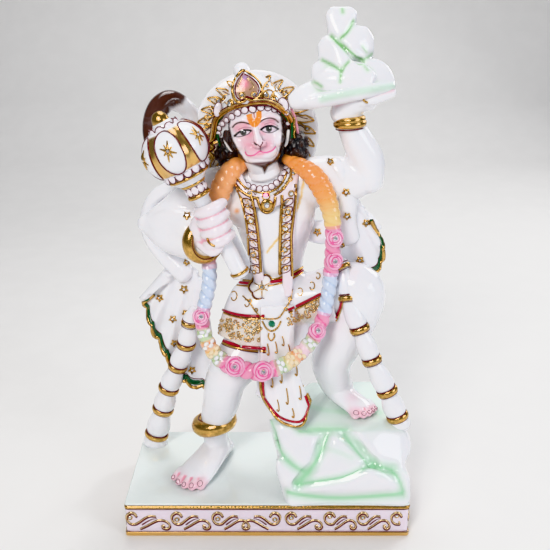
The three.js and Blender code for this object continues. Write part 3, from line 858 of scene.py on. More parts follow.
@dataclass(frozen=True)
class Recipe:
    """What a surface is made of."""

    title: str
    colour: Colour = (0.8, 0.8, 0.8)
    roughness: float = 0.25
    metallic: float = 0.0
    coat: float = 0.0
    painted: bool = False
    glow_depth: float = 0.0
    mottle: float = 0.06
    scale: float = 220.0
    bump: float = 0.0

    def mix(self) -> bpy.types.Material:
        """Make the material.

        Returns:
            The new material.
        """
        material = bpy.data.materials.new(self.title)
        material.use_nodes = True
        tree = material.node_tree
        surface = tree.nodes["Principled BSDF"]
        base = Shade(tree, tree.nodes.new("ShaderNodeTexCoord").outputs["Object"])
        cloud = base.noise(self.scale, 4.0).between(0.35, 0.7)
        fine = base.noise(self.scale * 9, 2.0)
        inputs: dict[str, object] = {"Coat Weight": self.coat, "Coat Roughness": 0.06}
        if self.painted:
            gilt = base.kept("gilt", "Fac")
            seam = 1.0 - abs(base.noise(26.0, 6.0, Distortion=1.4) - 0.5) * 30.0
            tint = (seam.between(0.0, 1.0) * 0.05).mix(base.kept("paint", "Color"), SEAM_TINT)
            inputs["Base Color"] = (cloud * self.mottle).mix(tint, CLOUD_TINT)
            inputs["Roughness"] = self.roughness + gilt * 0.08 + (fine - 0.5) * 0.04
            inputs["Metallic"] = gilt
        else:
            dark = tuple(c * (1 - self.mottle) for c in self.colour)
            inputs["Base Color"] = cloud.mix((*dark, 1.0), (*self.colour, 1.0))
            inputs["Roughness"] = self.roughness + (fine - 0.5) * 0.05
            inputs["Metallic"] = self.metallic
        if self.glow_depth:
            inputs["Subsurface Weight"] = 0.35
            inputs["Subsurface Scale"] = self.glow_depth
            inputs["Subsurface Radius"] = (1.0, 0.9, 0.85)
        if self.bump:
            lift = {"Height": fine, "Strength": self.bump, "Distance": 0.0004}
            inputs["Normal"] = base.node("ShaderNodeBump", {}, lift, "Normal")
        for name, value in inputs.items():
            base.wire(surface.inputs[name], value)
        return material


class Finish(Enum):
    """The surfaces of the figure."""

    MARBLE = Recipe(
        "painted_marble", roughness=0.16, coat=0.5, painted=True, glow_depth=0.003, mottle=0.04, scale=60
    )
    LOCKS = Recipe("painted_locks", roughness=0.34, coat=0.05, painted=True, mottle=0.0, scale=60)
    GOLD = Recipe("gilding", Paint.GOLD.value, 0.2, 1.0, mottle=0.3, scale=500, bump=0.12)
    PALE_GOLD = Recipe("pale_gilding", Paint.PALE_GOLD.value, 0.22, 1.0, mottle=0.25, scale=500, bump=0.12)
    MAROON = Recipe("maroon_enamel", Paint.MAROON.value, 0.25, coat=0.3, mottle=0.3, scale=400)
    RED = Recipe("red_enamel", Paint.RED.value, 0.22, coat=0.5, mottle=0.25, scale=400)
    GREEN = Recipe("green_enamel", Paint.GREEN.value, 0.22, coat=0.4, mottle=0.3, scale=400)
    PEARL = Recipe("pearl_paint", (0.86, 0.80, 0.86), 0.14, coat=0.6, mottle=0.08, scale=300)
    CLEAR = Recipe("clear_glass", (0.93, 0.95, 1.0), 0.05, 0.75, coat=1.0, mottle=0.3, scale=900)
    ROSY = Recipe("rose_glass", (0.72, 0.10, 0.34), 0.06, 0.45, coat=1.0, mottle=0.3, scale=900)
    LEAFY = Recipe("green_glass", (0.02, 0.30, 0.16), 0.06, 0.45, coat=1.0, mottle=0.3, scale=900)
    FLOOR = Recipe("pale_floor", (0.78, 0.77, 0.76), 0.6, mottle=0.02, scale=30)


class Workshop:
    """Keeps the materials and signs pieces in."""

    def __init__(self) -> None:
        """Open with no material and no piece."""
        self.materials: dict[Finish, bpy.types.Material] = {}
        self.pieces: dict[str, bpy.types.Object] = {}

    def coat(self, piece: bpy.types.Object, finish: Finish) -> None:
        """Give a piece its material."""
        if finish not in self.materials:
            self.materials[finish] = finish.value.mix()
        piece.data.materials.clear()
        piece.data.materials.append(self.materials[finish])

    def sign(self, piece: bpy.types.Object, finish: Finish) -> bpy.types.Object:
        """Finish a piece, tie it to the root body and, unless it is glass, hide the frame's marble statue.

        Args:
            piece: The piece.
            finish: Its surface.

        Returns:
            The piece.
        """
        self.coat(piece, finish)
        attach(piece, "root")
        if finish in (Finish.CLEAR, Finish.ROSY, Finish.LEAFY):
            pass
        else:
            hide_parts("marble_statue")
        self.pieces[piece.name] = piece
        return piece

    def show(self, canvas: Canvas, finish: Finish = Finish.MARBLE) -> bpy.types.Object:
        """Dry a painted piece and sign it in."""
        canvas.dry()
        return self.sign(canvas.piece, finish)

    def skins(self, *names: str) -> Surface:
        """The skins of some pieces, for sight lines."""
        return Surface(*(self.pieces[name] for name in names))


class Tracery:
    """Raised brush lines of one finish, gathered into one piece."""

    def __init__(self, name: str, finish: Finish) -> None:
        """Open an empty brush."""
        self.finish = finish
        self.name = name
        self.curve = bpy.data.curves.new(name, "CURVE")
        self.curve.dimensions = "3D"
        self.curve.bevel_depth = 0.001
        self.curve.bevel_resolution = 0
        self.curve.use_fill_caps = True

    def line(self, places: Sequence[Vector], radius: float, closed: bool = False, taper: float = 0.0) -> None:
        """Lay a line through places.

        Args:
            places: Where it runs, in metres.
            radius: Half its thickness, in millimetres.
            closed: Join its ends.
            taper: How far it thins out toward its end, 1 for a fine point.
        """
        if len(places) < 2:
            return
        spline = self.curve.splines.new("POLY")
        spline.points.add(len(places) - 1)
        for i, (point, place) in enumerate(zip(spline.points, places)):
            point.co = (*place, 1.0)
            point.radius = radius * (1.0 - 0.75 * taper * i / len(places))
        spline.use_cyclic_u = closed

    def draw(
        self,
        skin: Surface,
        points: Sequence[Point],
        radius: float,
        closed: bool = False,
        taper: float = 0.0,
        lift: float = 0.25,
    ) -> None:
        """Lay a line over what the viewer sees at picture points.

        Args:
            skin: Skins to lie on.
            points: Picture points that the line runs through.
            radius: Half its thickness, in millimetres.
            closed: Join its ends.
            taper: How far it thins out toward its end, 1 for a fine point.
            lift: Height of its middle over the skin, as a share of its radius.
        """
        rows = list(points) + ([points[0]] if closed else [])
        fine = flow(rows, 6) if len(rows) > 2 else np.linspace(rows[0], rows[-1], 7)
        runs: list[list[Vector]] = [[]]
        for u, v in fine:
            hit = skin.meet(u, v)
            if hit is None or (runs[-1] and (hit[0] - runs[-1][-1]).length > 0.0045):
                runs.append([])
            if hit is not None:
                runs[-1].append(hit[0] + hit[1] * radius * lift * 0.001)
        for run in runs:
            self.line(run, radius, taper=taper)

    def done(self, shop: Workshop) -> bpy.types.Object:
        """Turn the lines to mesh and sign the piece in."""
        piece = bpy.data.objects.new(self.name, self.curve)
        bpy.context.scene.collection.objects.link(piece)
        piece = harden(piece)
        piece.data.shade_smooth()
        return shop.sign(piece, self.finish)


class Jewels:
    """Faceted stones of one glass, gathered into one piece."""

    def __init__(self, name: str, finish: Finish) -> None:
        """Open an empty tray."""
        self.clay = Clay()
        self.name = name
        self.finish = finish
        self.count = 0

    def seat(self, place: Vector, normal: Vector, radius: float) -> None:
        """Set a stone on a skin.

        Args:
            place: Where its back lies, in metres.
            normal: Which way it looks.
            radius: Its radius, in millimetres.
        """
        size = radius * 0.001
        stand = axes(place + normal * size * 0.22, normal) @ Matrix.Rotation(0.35 * self.count, 4, "Z")
        waist = size * 0.55
        bmesh.ops.create_cone(
            self.clay.bm, cap_ends=True, segments=8, radius1=size, radius2=waist, depth=waist, matrix=stand
        )
        self.count += 1

    def done(self, shop: Workshop) -> bpy.types.Object:
        """Close the stones into a piece."""
        return shop.sign(self.clay.settle(self.name, smooth=False), self.finish)


@dataclass
class Box:
    """Brushes and stones that every class of the figure draws from."""

    gold: Tracery = field(default_factory=lambda: Tracery("gold_lines", Finish.GOLD))
    pale: Tracery = field(default_factory=lambda: Tracery("pale_gold_lines", Finish.PALE_GOLD))
    maroon: Tracery = field(default_factory=lambda: Tracery("maroon_lines", Finish.MAROON))
    red: Tracery = field(default_factory=lambda: Tracery("red_lines", Finish.RED))
    green: Tracery = field(default_factory=lambda: Tracery("green_lines", Finish.GREEN))
    clear: Jewels = field(default_factory=lambda: Jewels("clear_stones", Finish.CLEAR))
    rosy: Jewels = field(default_factory=lambda: Jewels("rose_stone", Finish.ROSY))
    leafy: Jewels = field(default_factory=lambda: Jewels("green_stone", Finish.LEAFY))

    def stone(self, skin: Surface, u: float, v: float, radius: float, rim: bool = True) -> None:
        """Set a clear stone, with a gilt rim, at a picture point."""
        hit = skin.meet(u, v)
        if hit:
            self.set(*hit, radius, rim)

    def set(self, place: Vector, normal: Vector, radius: float, rim: bool = True) -> None:
        """Set a clear stone, with a gilt rim, on a skin."""
        self.clear.seat(place, normal, radius)
        if rim:
            around, reach = axes(place + normal * 0.0002, normal), (radius + 0.12) * 0.001
            self.gold.line(oval(around, reach, reach, 0.0, 10), 0.32, closed=True)

    def edged(self, skin: Surface, points: Sequence[Point], radius: float, closed: bool = False) -> None:
        """Lay a gilt line with maroon showing along both sides.

        Args:
            skin: Skins to lie on.
            points: Picture points that the line runs through.
            radius: Half the gilt line's thickness, in millimetres.
            closed: Join its ends.
        """
        self.maroon.draw(skin, points, radius * 1.45, closed, lift=-0.45)
        self.gold.draw(skin, points, radius, closed, lift=0.35)

    def flower(self, skin: Surface, u: float, v: float, size: float) -> None:
        """A gilt flower round a stone, at a picture point.

        Args:
            skin: Skin that it lies on.
            u: Picture point, across.
            v: Picture point, down.
            size: Its radius, in picture units.
        """
        for k in range(5):
            turn = math.tau * (k + 0.3) / 5
            ray = [(u + r * size * math.cos(turn), v + r * size * math.sin(turn)) for r in (0.5, 1.22)]
            self.gold.draw(skin, ray, 1.15, taper=1.0, lift=0.3)
        self.stone(skin, u, v, 1.4)

    def done(self, shop: Workshop) -> None:
        """Close every brush and stone into its piece."""
        for brush in (self.gold, self.pale, self.maroon, self.red, self.green):
            brush.done(shop)
        clear = self.clear.done(shop)
        rosy = self.rosy.done(shop)
        self.leafy.done(shop)
        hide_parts(*(f"stone_{n:02d}" for n in range(1, 23) if n != 16))
        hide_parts("stone_16")


@dataclass(frozen=True)
class Pearl:
    """A painted bead with a maroon rim, its measures as shares of its radius."""

    shape: Station
    rim: Station
    thick: float
    sides: tuple[int, int] = (14, 9)
    steps: int = 12

    def seat(self, clay: Clay, brush: Tracery, stand: Matrix, size: float) -> None:
        """Set one in a frame.

        Args:
            clay: Work that takes the bead.
            brush: Brush for the rim.
            stand: The frame, Z being the way that the bead looks.
            size: Its radius, in metres.
        """
        clay.bead(stand, [share * size for share in self.shape], *self.sides)
        brush.line(oval(stand, *(share * size for share in self.rim), self.steps), self.thick, closed=True)


def seat_of(name: str, skin: Surface) -> tuple[Vector, Vector]:
    """Where a stone of the frame sits on a skin.

    Args:
        name: The stone's node.
        skin: Skin to seat it on.

    Returns:
        The place and the normal.
    """
    low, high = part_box(name)
    return skin.close((Vector(low) + Vector(high)) / 2)


# The carved block


BULB = [
    (4.6, -1.6), (2.4, -4.6), (-1.2, -5.2), (-4.9, -1.8), (-4.8, 3.2), (-1.6, 7.0), (3.2, 7.2), (8, 4.4),
    (13, 0.6), (18, -1.6), (24, -1.4),
]
WAVE = [
    (32.2, 9.2), (29.9, 9.8), (31, 12.0), (34.6, 12.6), (37.2, 10.4), (36.5, 6.8), (32, 3.4), (26, 3.2),
    (20, 6.0), (14, 9.6), (7.5, 12.8),
]
SPRIG = [(10, 8.4), (15, 5.0), (20, 2.4), (25, 1.4)]


@dataclass
class Plinth:
    """The plinth with its gilt bands and scrolls."""

    panel: tuple[float, float] = (0.0028, 0.0188)
    recess: float = 0.0009
    corner: float = 0.0022
    twist: float = 0.0042
    scroll: float = 0.0285

    def _block(self, levels: Sequence[Point]) -> Clay:
        """A block with rounded corners.

        Args:
            levels: Inset and height of each edge round it, in metres, bottom to top.

        Returns:
            The clay that holds it.
        """
        clay = Clay()
        bm = clay.bm
        made = bmesh.ops.create_grid(bm, x_segments=1, y_segments=1, size=0.5)
        bmesh.ops.scale(bm, verts=made["verts"], vec=(PLINTH_WIDTH, PLINTH_DEPTH, 1.0))
        bmesh.ops.bevel(
            bm, geom=bm.verts[:], offset=self.corner, segments=6, profile=0.5, affect="VERTICES", material=-1
        )
        core = np.array([PLINTH_WIDTH / 2 - self.corner, PLINTH_DEPTH / 2 - self.corner])
        edges = bm.edges[:]
        bmesh.ops.delete(bm, geom=bm.faces[:], context="FACES_ONLY")
        shrink = 1.0
        for k, (inset, z) in enumerate(levels):
            if k:
                made = bmesh.ops.extrude_edge_only(bm, edges=edges)
                edges = [g for g in made["geom"] if isinstance(g, BMEdge)]
            new = (self.corner - inset) / self.corner
            for v in {v for edge in edges for v in edge.verts}:
                flat = np.array(v.co)[:2]
                centre = np.clip(flat, -core, core)
                v.co = (*(centre + (flat - centre) * new / shrink), z)
            shrink = new
        bmesh.ops.holes_fill(bm, edges=bm.edges[:], sides=0)
        return clay

    def build(self, shop: Workshop, box: Box) -> None:
        """Make the core, the bands and the scrolls."""
        low, high = self.panel
        levels = [
            (0.0005, 0.0), (0.0, 0.0005), (0.0, 0.0026), (0.0003, 0.00285), (self.recess, low + 0.0002),
            (self.recess, high), (0.0014, high + 0.0004), (0.0014, 0.0219), (0.0006, 0.0222),
            (0.0006, 0.0226), (0.0012, GROUND), (0.002, GROUND),
        ]
        core = self._block(levels).settle("plinth", smooth=False)
        canvas = Canvas(core)
        z = canvas.co[:, 2]
        canvas.lay((z > low - 1e-5) & (z < high + 1e-5), Paint.LILAC)
        canvas.lay(z < 0.00286, Paint.GOLD, 1.0)
        canvas.lay(0.16 * (z > GROUND - 0.0009), Paint.MINT)
        shop.show(canvas)
        self._bands(shop, box)
        self._scrolls(box)

    def _bands(self, shop: Workshop, box: Box) -> None:
        """Make the twisted gilt band and the maroon lines along it."""
        radius, height, step = 0.00125, 0.0205, 0.0006
        half = Vector((PLINTH_WIDTH / 2 - radius, PLINTH_DEPTH / 2 - radius))
        bend = self.corner - radius * 0.5
        places = []
        for quarter, (sx, sy) in enumerate(((1, 1), (-1, 1), (-1, -1), (1, -1))):
            for a in (math.pi / 2 * (quarter + k / 6) for k in range(7)):
                x = sx * (half.x - bend) + bend * math.cos(a)
                places.append(Vector((x, sy * (half.y - bend) + bend * math.sin(a), height)))
        places.append(places[0])
        run = lengths(places)
        across, deep, _ = np.array(places).T

        def spot(reach: float) -> Vector:
            """The place at a length along the band."""
            reach %= run[-1]
            return Vector((np.interp(reach, run, across), np.interp(reach, run, deep), height))

        count = int(run[-1] / step)
        marks = [run[-1] * k / count for k in range(count + 1)]
        girth = Matrix.Diagonal((radius, radius, 1, 1))
        rings = [axes(spot(reach), spot(reach + step) - spot(reach - step)) @ girth for reach in marks]
        turn = math.tau * step / self.twist
        clay = Clay()
        clay.skin(rings, 10, lambda angle, i: 1.0 - 0.16 * (1 - abs(math.sin(angle + turn * i))))
        for reach in (self.twist * k for k in range(int(run[-1] / self.twist))):
            centre = spot(reach)
            along = (spot(reach + step) - centre).normalized()
            out = along.cross(UP)
            slant = along * 0.0007 + UP * 0.0008
            groove = [centre + out * (radius * 0.8 - 0.0005 * abs(t)) + slant * t for t in (-1, 0, 1)]
            box.maroon.line(groove, 0.2)
        for drop, lift, thick in ((0.0012, 0.7 * radius, 0.28), (0.0172, radius - 0.0003, 0.22)):
            line = []
            for reach in marks[:-1:4]:
                along = (spot(reach + step) - spot(reach - step)).normalized()
                line.append(spot(reach) + along.cross(UP) * lift - UP * drop)
            box.maroon.line(line, thick, closed=True)
        shop.sign(clay.settle("plinth_bands"), Finish.GOLD)

    def _scrolls(self, box: Box) -> None:
        """Lay the scrolls along the four faces, those in front beside their stones."""
        wide, deep = PLINTH_WIDTH / 2 - self.recess, PLINTH_DEPTH / 2 - self.recess
        spots = [sum(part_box(f"stone_{k:02d}"), Vector()) / 2 for k in range(1, 9)]
        steps = [b.x - a.x for a, b in zip(spots, spots[1:])]
        reach = [steps[0], steps[1], 0.0235, -0.0245, steps[4], steps[5], steps[6], 0.0085]
        low = 0.0046 - PLINTH_WIDTH / 2
        for spot, size in zip(spots, reach):
            self._scroll(box, Vector((0, -deep, 0)), Vector((1, 0, 0)), max(spot.x, low), size)
        for origin, along, length in (
            (Vector((0, deep, 0)), Vector((-1, 0, 0)), PLINTH_WIDTH),
            (Vector((-wide, 0, 0)), Vector((0, -1, 0)), PLINTH_DEPTH),
            (Vector((wide, 0, 0)), Vector((0, 1, 0)), PLINTH_DEPTH),
        ):
            count = round(length / self.scroll)
            pitch = (length - 0.004) / count
            for k in range(count):
                self._scroll(box, origin, along, (k + 0.5) * pitch - length / 2 - 0.008, pitch)

    def _scroll(self, box: Box, origin: Vector, along: Vector, place: float, size: float) -> None:
        """Lay one scroll over its maroon lines, which are outline paint shifted down as a painted shadow
        beneath the gilt.

        Args:
            box: The brushes.
            origin: Middle of the face, at the bottom.
            along: Way that the face runs.
            place: Where the scroll starts along the face, in metres.
            size: Its length in metres, below 0 when it runs the other way.
        """
        out = along.cross(UP)
        side = math.copysign(0.00061, size)
        stretch = abs(size) / self.scroll

        def on(points: Sequence[Point], lift: float, shift: Point = (0.0, 0.0)) -> list[Vector]:
            """Places of a line on the face."""
            rows = []
            for u, v in ((u + shift[0], v + shift[1]) for u, v in points):
                across = along * (place + side * u * (stretch if u > 7 else 1))
                rows.append(origin + across + UP * (0.0133 - 0.00065 * v) + out * lift)
            return track(rows, 5)

        for points in (BULB, WAVE) if abs(size) > 0.012 else (BULB[:8],):
            # Maroon outline paint set behind the pale gilt and shifted down: partly the statue's outline,
            # partly a painted shadow.
            box.maroon.line(on(points, -0.0003, (0.4, 1.5)), 1.15, taper=0.5)
            box.pale.line(on(points, 0.0), 0.88, taper=0.6)
        if abs(size) > 0.012:
            box.maroon.line(on(SPRIG, -0.0001), 0.62, taper=0.7)


ROCK = [
    [
        (8, -60, 160), (115, -95, 147), (183, -88, 149), (298, -42, 146), (296, 60, 153), (250, 104, 163),
        (98, 106, 159), (51, 28, 158), (45, -138, -12), (300, -138, -12), (298, 90, -12), (90, 118, -12),
        (40, 20, -12), (30, -60, 60),
    ],
    [
        (2, -71, 168), (19, -92, 168), (70, -104, 157), (115, -102, 144), (95, -124, 116), (89, -134, 91),
        (66, -141, 64), (38, -134, 79), (13, -106, 130), (60, -40, 110), (60, -90, 20),
    ],
    [
        (18, -124, 104), (28, -134, 92), (61, -143, 60), (42, -145, 20), (19, -127, 72), (60, -90, 30),
        (50, -80, -12), (44, -140, -12),
    ],
    [
        (132, -100, 147), (62, -143, 36), (226, -134, 89), (180, -100, 130), (120, -60, 100), (90, -80, 10),
        (150, -140, 60), (240, -70, 20),
    ],
    [
        (183, -95, 150), (243, -82, 147), (295, -67, 132), (314, -71, 104), (308, -92, 86), (277, -124, 72),
        (239, -127, 92), (210, -113, 122), (292, 35, 149), (308, 0, 90), (220, -40, 80),
    ],
    [
        (62, -144, 34), (150, -144, 52), (225, -140, 90), (271, -132, 82), (303, -130, 60), (305, -144, 14),
        (44, -144, 24), (42, -144, -12), (305, -144, -12), (305, -60, -12), (60, -60, -12), (290, -60, 60),
    ],
    [
        (70, -126, 95), (64, -134, 40), (225, -125, 84), (180, -80, 138), (110, -86, 138), (60, -60, 100),
        (220, -60, 60), (290, -118, 78), (300, -60, 130), (292, -124, 20),
    ],
]

MOUNTAIN = [
    [
        (113, -10, 985), (121, -7, 998), (160, -7, 998), (169, -10, 990), (163, -14, 965), (138, -28, 940),
        (122, -14, 944), (115, 14, 985), (165, 14, 985), (124, 10, 930), (160, 10, 930), (116, -2, 968),
    ],
    [
        (138, -26, 943), (160, -14, 966), (186, -10, 965), (201, -7, 944), (203, -7, 915), (186, -30, 904),
        (160, -38, 918), (140, 18, 950), (195, 18, 950), (198, 18, 905), (150, 24, 890), (192, -7, 898),
    ],
    [
        (124, -10, 951), (106, -11, 944), (98, -14, 930), (103, -22, 903), (138, -46, 886), (158, -42, 905),
        (128, -30, 940), (112, 20, 940), (108, 20, 900), (170, 20, 900),
    ],
    [
        (104, -18, 904), (90, -21, 897), (86, -25, 884), (92, -30, 864), (111, -46, 850), (146, -52, 862),
        (146, -46, 888), (95, 22, 890), (98, 24, 858), (150, 30, 860),
    ],
    [
        (94, -21, 868), (77, -28, 862), (60, -35, 852), (42, -34, 836), (50, -42, 826), (74, -50, 828),
        (112, -50, 842), (60, 10, 850), (46, 0, 830), (110, 20, 850),
    ],
    [
        (140, -55, 858), (146, -46, 893), (158, -44, 904), (182, -48, 900), (204, -50, 880), (192, -60, 858),
        (150, 20, 880), (190, 20, 880),
    ],
    [
        (180, -34, 900), (196, -21, 905), (212, -18, 905), (228, -18, 894), (241, -18, 874), (246, -20, 855),
        (194, -56, 855), (185, 26, 890), (232, 22, 882), (240, 20, 858),
    ],
    [
        (43, -40, 828), (73, -54, 836), (110, -62, 845), (156, -66, 854), (202, -60, 861), (245, -30, 862),
        (49, -34, 816), (91, -44, 819), (122, -50, 828), (176, -54, 838), (240, -30, 848), (66, 24, 846),
        (126, 44, 852), (186, 44, 858), (236, 24, 862), (60, 10, 826), (126, 30, 832), (186, 30, 838),
    ],
]


def hollows(canvas: Canvas, passes: int) -> np.ndarray:
    """How deep each vertex lies in a hollow, in metres.

    Args:
        canvas: The piece.
        passes: Smoothing passes that the depth is measured against.

    Returns:
        Depth at each vertex, below 0 on a ridge.
    """
    count = len(canvas.co)
    pairs = np.empty(len(canvas.mesh.edges) * 2, dtype=np.int64)
    canvas.mesh.edges.foreach_get("vertices", pairs)
    a, b = pairs.reshape(-1, 2).T
    links = np.bincount(a, minlength=count) + np.bincount(b, minlength=count)
    smooth = canvas.co.copy()
    for _ in range(passes):
        total = np.zeros_like(smooth)
        for axis in range(3):
            total[:, axis] = np.bincount(a, smooth[b, axis], count) + np.bincount(b, smooth[a, axis], count)
        smooth = total / np.maximum(links, 1)[:, None]
    return ((smooth - canvas.co) * canvas.normal).sum(axis=1)


@dataclass(frozen=True)
class Crease:
    """How creases are cut in a crag and coloured."""

    paint: Paint
    reach: float
    depth: float
    wash: float
    core: float

    def cut(self, canvas: Canvas, points: Sequence[Point], width: float, strength: float) -> None:
        """Cut and colour one crease.

        Args:
            canvas: The crag.
            points: Picture points that it runs through.
            width: Its width, in picture units.
            strength: How deep and how strongly coloured it is, 1 in full.
        """
        canvas.carve(points, width * self.reach, self.depth * strength)
        canvas.line(points, width, self.paint, self.wash, strength * 0.6)
        canvas.line(points, width * 0.35, self.paint, self.core, strength)


@dataclass
class Rock:
    """The rock under the raised foot."""

    grain: float = 0.0012
    crease: Crease = Crease(Paint.MINT, 2.2, 0.0026, 6.0, 1.8)

    def build(self, shop: Workshop) -> None:
        """Make the rock with mint green in its creases."""
        clay = Clay()
        for points in ROCK:
            clay.boulder(points)
        canvas = Canvas(clay.fuse("rock", self.grain, 26, 0.0008))
        canvas.stain(25, 0.00002, 0.0009, Paint.MINT, 0.35)
        for points, width, strength in (
            ([(326, 436), (321, 452), (312, 470), (298, 485)], 5, 0.75),
            ([(345, 434), (356, 447), (370, 462), (394, 468)], 5, 0.7),
            ([(298, 486), (318, 482), (345, 477), (369, 466)], 4, 0.75),
            ([(286, 494), (310, 498), (344, 500), (404, 496)], 6, 0.8),
            ([(270, 438), (279, 452), (292, 465), (305, 474)], 7, 0.7),
            ([(268, 414), (272, 430), (274, 446)], 5, 0.55),
            ([(300, 430), (322, 428), (346, 428)], 9, 0.5),
            ([(394, 470), (400, 481), (405, 494)], 5, 0.6),
            ([(373, 464), (384, 472), (396, 475)], 5, 0.6),
            ([(300, 402), (330, 410), (380, 412)], 10, 0.22),
            ([(322, 448), (338, 452), (352, 458)], 12, 0.15),
        ):
            self.crease.cut(canvas, points, width, strength)
        canvas.lay(0.26 * ramp(canvas.normal[:, 2], 0.5, 0.95), Paint.MINT)
        shop.show(canvas)


RIGHT_LEG = [
    (-18, 24, 345, 56, 54), (-46, 4, 292, 56, 52), (-72, -14, 262, 51, 49), (-91, -16, 228, 45, 44),
    (-103, -2, 170, 42, 41), (-115, 11, 126, 36, 36), (-121, 21, 86, 29, 30), (-120, 28, 55, 29, 30),
    (-116, 34, 22, 29, 32),
]
LEFT_LEG = [
    (40, 30, 391, 50, 47), (112, 20, 408, 54, 52), (156, 8, 432, 56, 53), (188, -6, 442, 55, 50),
    (197, -7, 418, 53, 49), (183, 0, 368, 52, 49), (158, 8, 312, 51, 48), (143, 17, 262, 46, 43),
    (150, 27, 214, 39, 38), (164, 32, 180, 33, 35),
]
RIGHT_SOLE = [
    (-106, 62, 16, 28, 18), (-120, 30, 26, 33, 27), (-135, -6, 24, 37, 24), (-152, -40, 19, 41, 19),
    (-166, -66, 13, 42, 13),
]
RIGHT_TOES = [(-146, -92, 11), (-165, -97, 9), (-182, -92, 8), (-197, -80, 7.5), (-209, -64, 7)]
LEFT_SOLE = [
    (155, 52, 172, 26, 16), (162, 26, 178, 29, 22), (176, 4, 176, 32, 20), (194, -16, 171, 34, 15),
    (206, -31, 166, 33, 11),
]
LEFT_TOES = [(192, -52, 11), (209, -53, 9), (222, -46, 8), (231, -36, 7.5), (238, -26, 7)]


@dataclass
class Legs:
    """Both legs with their feet and the anklet."""

    grain: float = 0.00085
    anklet: Station = (-122, 20, 102)

    def build(self, shop: Workshop, box: Box) -> None:
        """Make the legs, then the nails and the anklet."""
        clay = Clay()
        clay.limb(RIGHT_LEG, sides=28).limb(LEFT_LEG, sides=28)
        clay.limb(RIGHT_SOLE, deep=UP).limb(LEFT_SOLE, deep=UP)
        clay.ball((-90, -34, 256), (32, 22, 34)).ball((194, -30, 438), (36, 26, 30))
        for x, y, size in RIGHT_TOES:
            root = [(x + 12, y + 28, 14, size, size), (x + 3, y + 6, 12, size, size)]
            clay.limb([*root, (x, y, 9, size, size * 0.9)], 12, UP)
        for x, y, size in LEFT_TOES:
            clay.limb([(x - 10, y + 24, 168, size, size), (x, y, 163, size, size * 0.9)], 12, UP)
        nails = [(Vector((x, y, 9)), Vector((-12, -28, 0)), size) for x, y, size in RIGHT_TOES]
        nails += [(Vector((x, y, 163)), Vector((10, -24, 0)), size) for x, y, size in LEFT_TOES]
        canvas = Canvas(clay.fuse("legs", self.grain, 2))
        for place, _, size in nails:
            canvas.lay(0.75 * canvas.near(place, size * 3.0), Paint.BLUSH)
            canvas.lay(0.45 * canvas.near(place, size * 2.2), Paint.PINK)
        canvas.glow((178, 478), 15, Paint.BLUSH, 0.5).glow((352, 398), 12, Paint.BLUSH, 0.4)
        canvas.glow((345, 265), 12, Paint.BLUSH, 0.08)
        x, y, z = canvas.k.T
        toes = (z < 34) & (y < -50) | (x > 170) & (z < 192) & (z > 140) & (y < -22)
        canvas.stain(12, 0.00004, 0.0003, Paint.PINK, 0.95 * toes)
        shop.show(canvas)
        stand = axes(at(*self.anklet), Vector((-0.2, 0.12, 1)))
        ring = Clay().ring(stand, 37 * SHARE, 0.0045, flat=1.15)
        shop.sign(ring.settle("anklet"), Finish.GOLD)
        for height in (-0.0049, 0.0049):
            box.maroon.line(oval(stand, 33.5 * SHARE, 33.5 * SHARE, height, 40), 0.5, closed=True)
        skin = shop.skins("legs")
        for place, way, size in nails:
            self._nail(skin, box, at(place.x, place.y, place.z + size), way.normalized(), size * SHARE)

    def _nail(self, skin: Surface, box: Box, place: Vector, way: Vector, size: float) -> None:
        """Outline one toenail.

        Args:
            skin: The leg's skin.
            box: The brushes.
            place: Top of the toe.
            way: Way that the toe points.
            size: Half its width, in metres.
        """
        arc = []
        for a in (math.tau * k / 12 for k in range(12)):
            ahead, aside = 0.28 + 0.46 * math.sin(a), 0.55 * math.cos(a)
            spot = place + (way * ahead + way.cross(UP) * aside) * size
            hit = skin.along(spot + UP * 0.006, -UP)
            if hit:
                arc.append(hit[0] + hit[1] * 0.00005)
        box.maroon.line(arc, 0.17, closed=True)


TRUNK = [
    (6, 28, 345, 80, 60), (11, 28, 400, 74, 57), (19, 28, 437, 67, 49), (20, 28, 487, 56, 47),
    (18, 26, 542, 72, 54), (16, 23, 593, 86, 58), (6, 26, 641, 84, 51), (-2, 24, 671, 48, 40),
    (-10, 18, 700, 33, 34),
]
LEFT_ARM = [
    (50, 30, 655, 46, 46), (86, 27, 660, 52, 47), (126, 24, 664, 52, 45), (166, 20, 668, 47, 40),
    (200, 17, 678, 38, 36),
]
LEFT_FOREARM = [
    (207, 14, 672, 32, 34), (201, 11, 708, 36, 34), (183, 4, 745, 32, 30), (167, 0, 777, 27, 27),
    (160, -4, 807, 26, 26), (156, -4, 832, 32, 30),
]
RIGHT_ARM = [
    (-50, 32, 650, 46, 48), (-100, 32, 642, 50, 46), (-150, 28, 622, 45, 42), (-196, 24, 596, 35, 36),
    (-236, 20, 579, 25, 28), (-254, 17, 576, 13, 18),
]
RIGHT_FOREARM = [
    (-248, 16, 576, 20, 22), (-212, 4, 570, 44, 38), (-175, -12, 564, 50, 41), (-142, -30, 558, 46, 38),
    (-126, -48, 558, 34, 32),
]


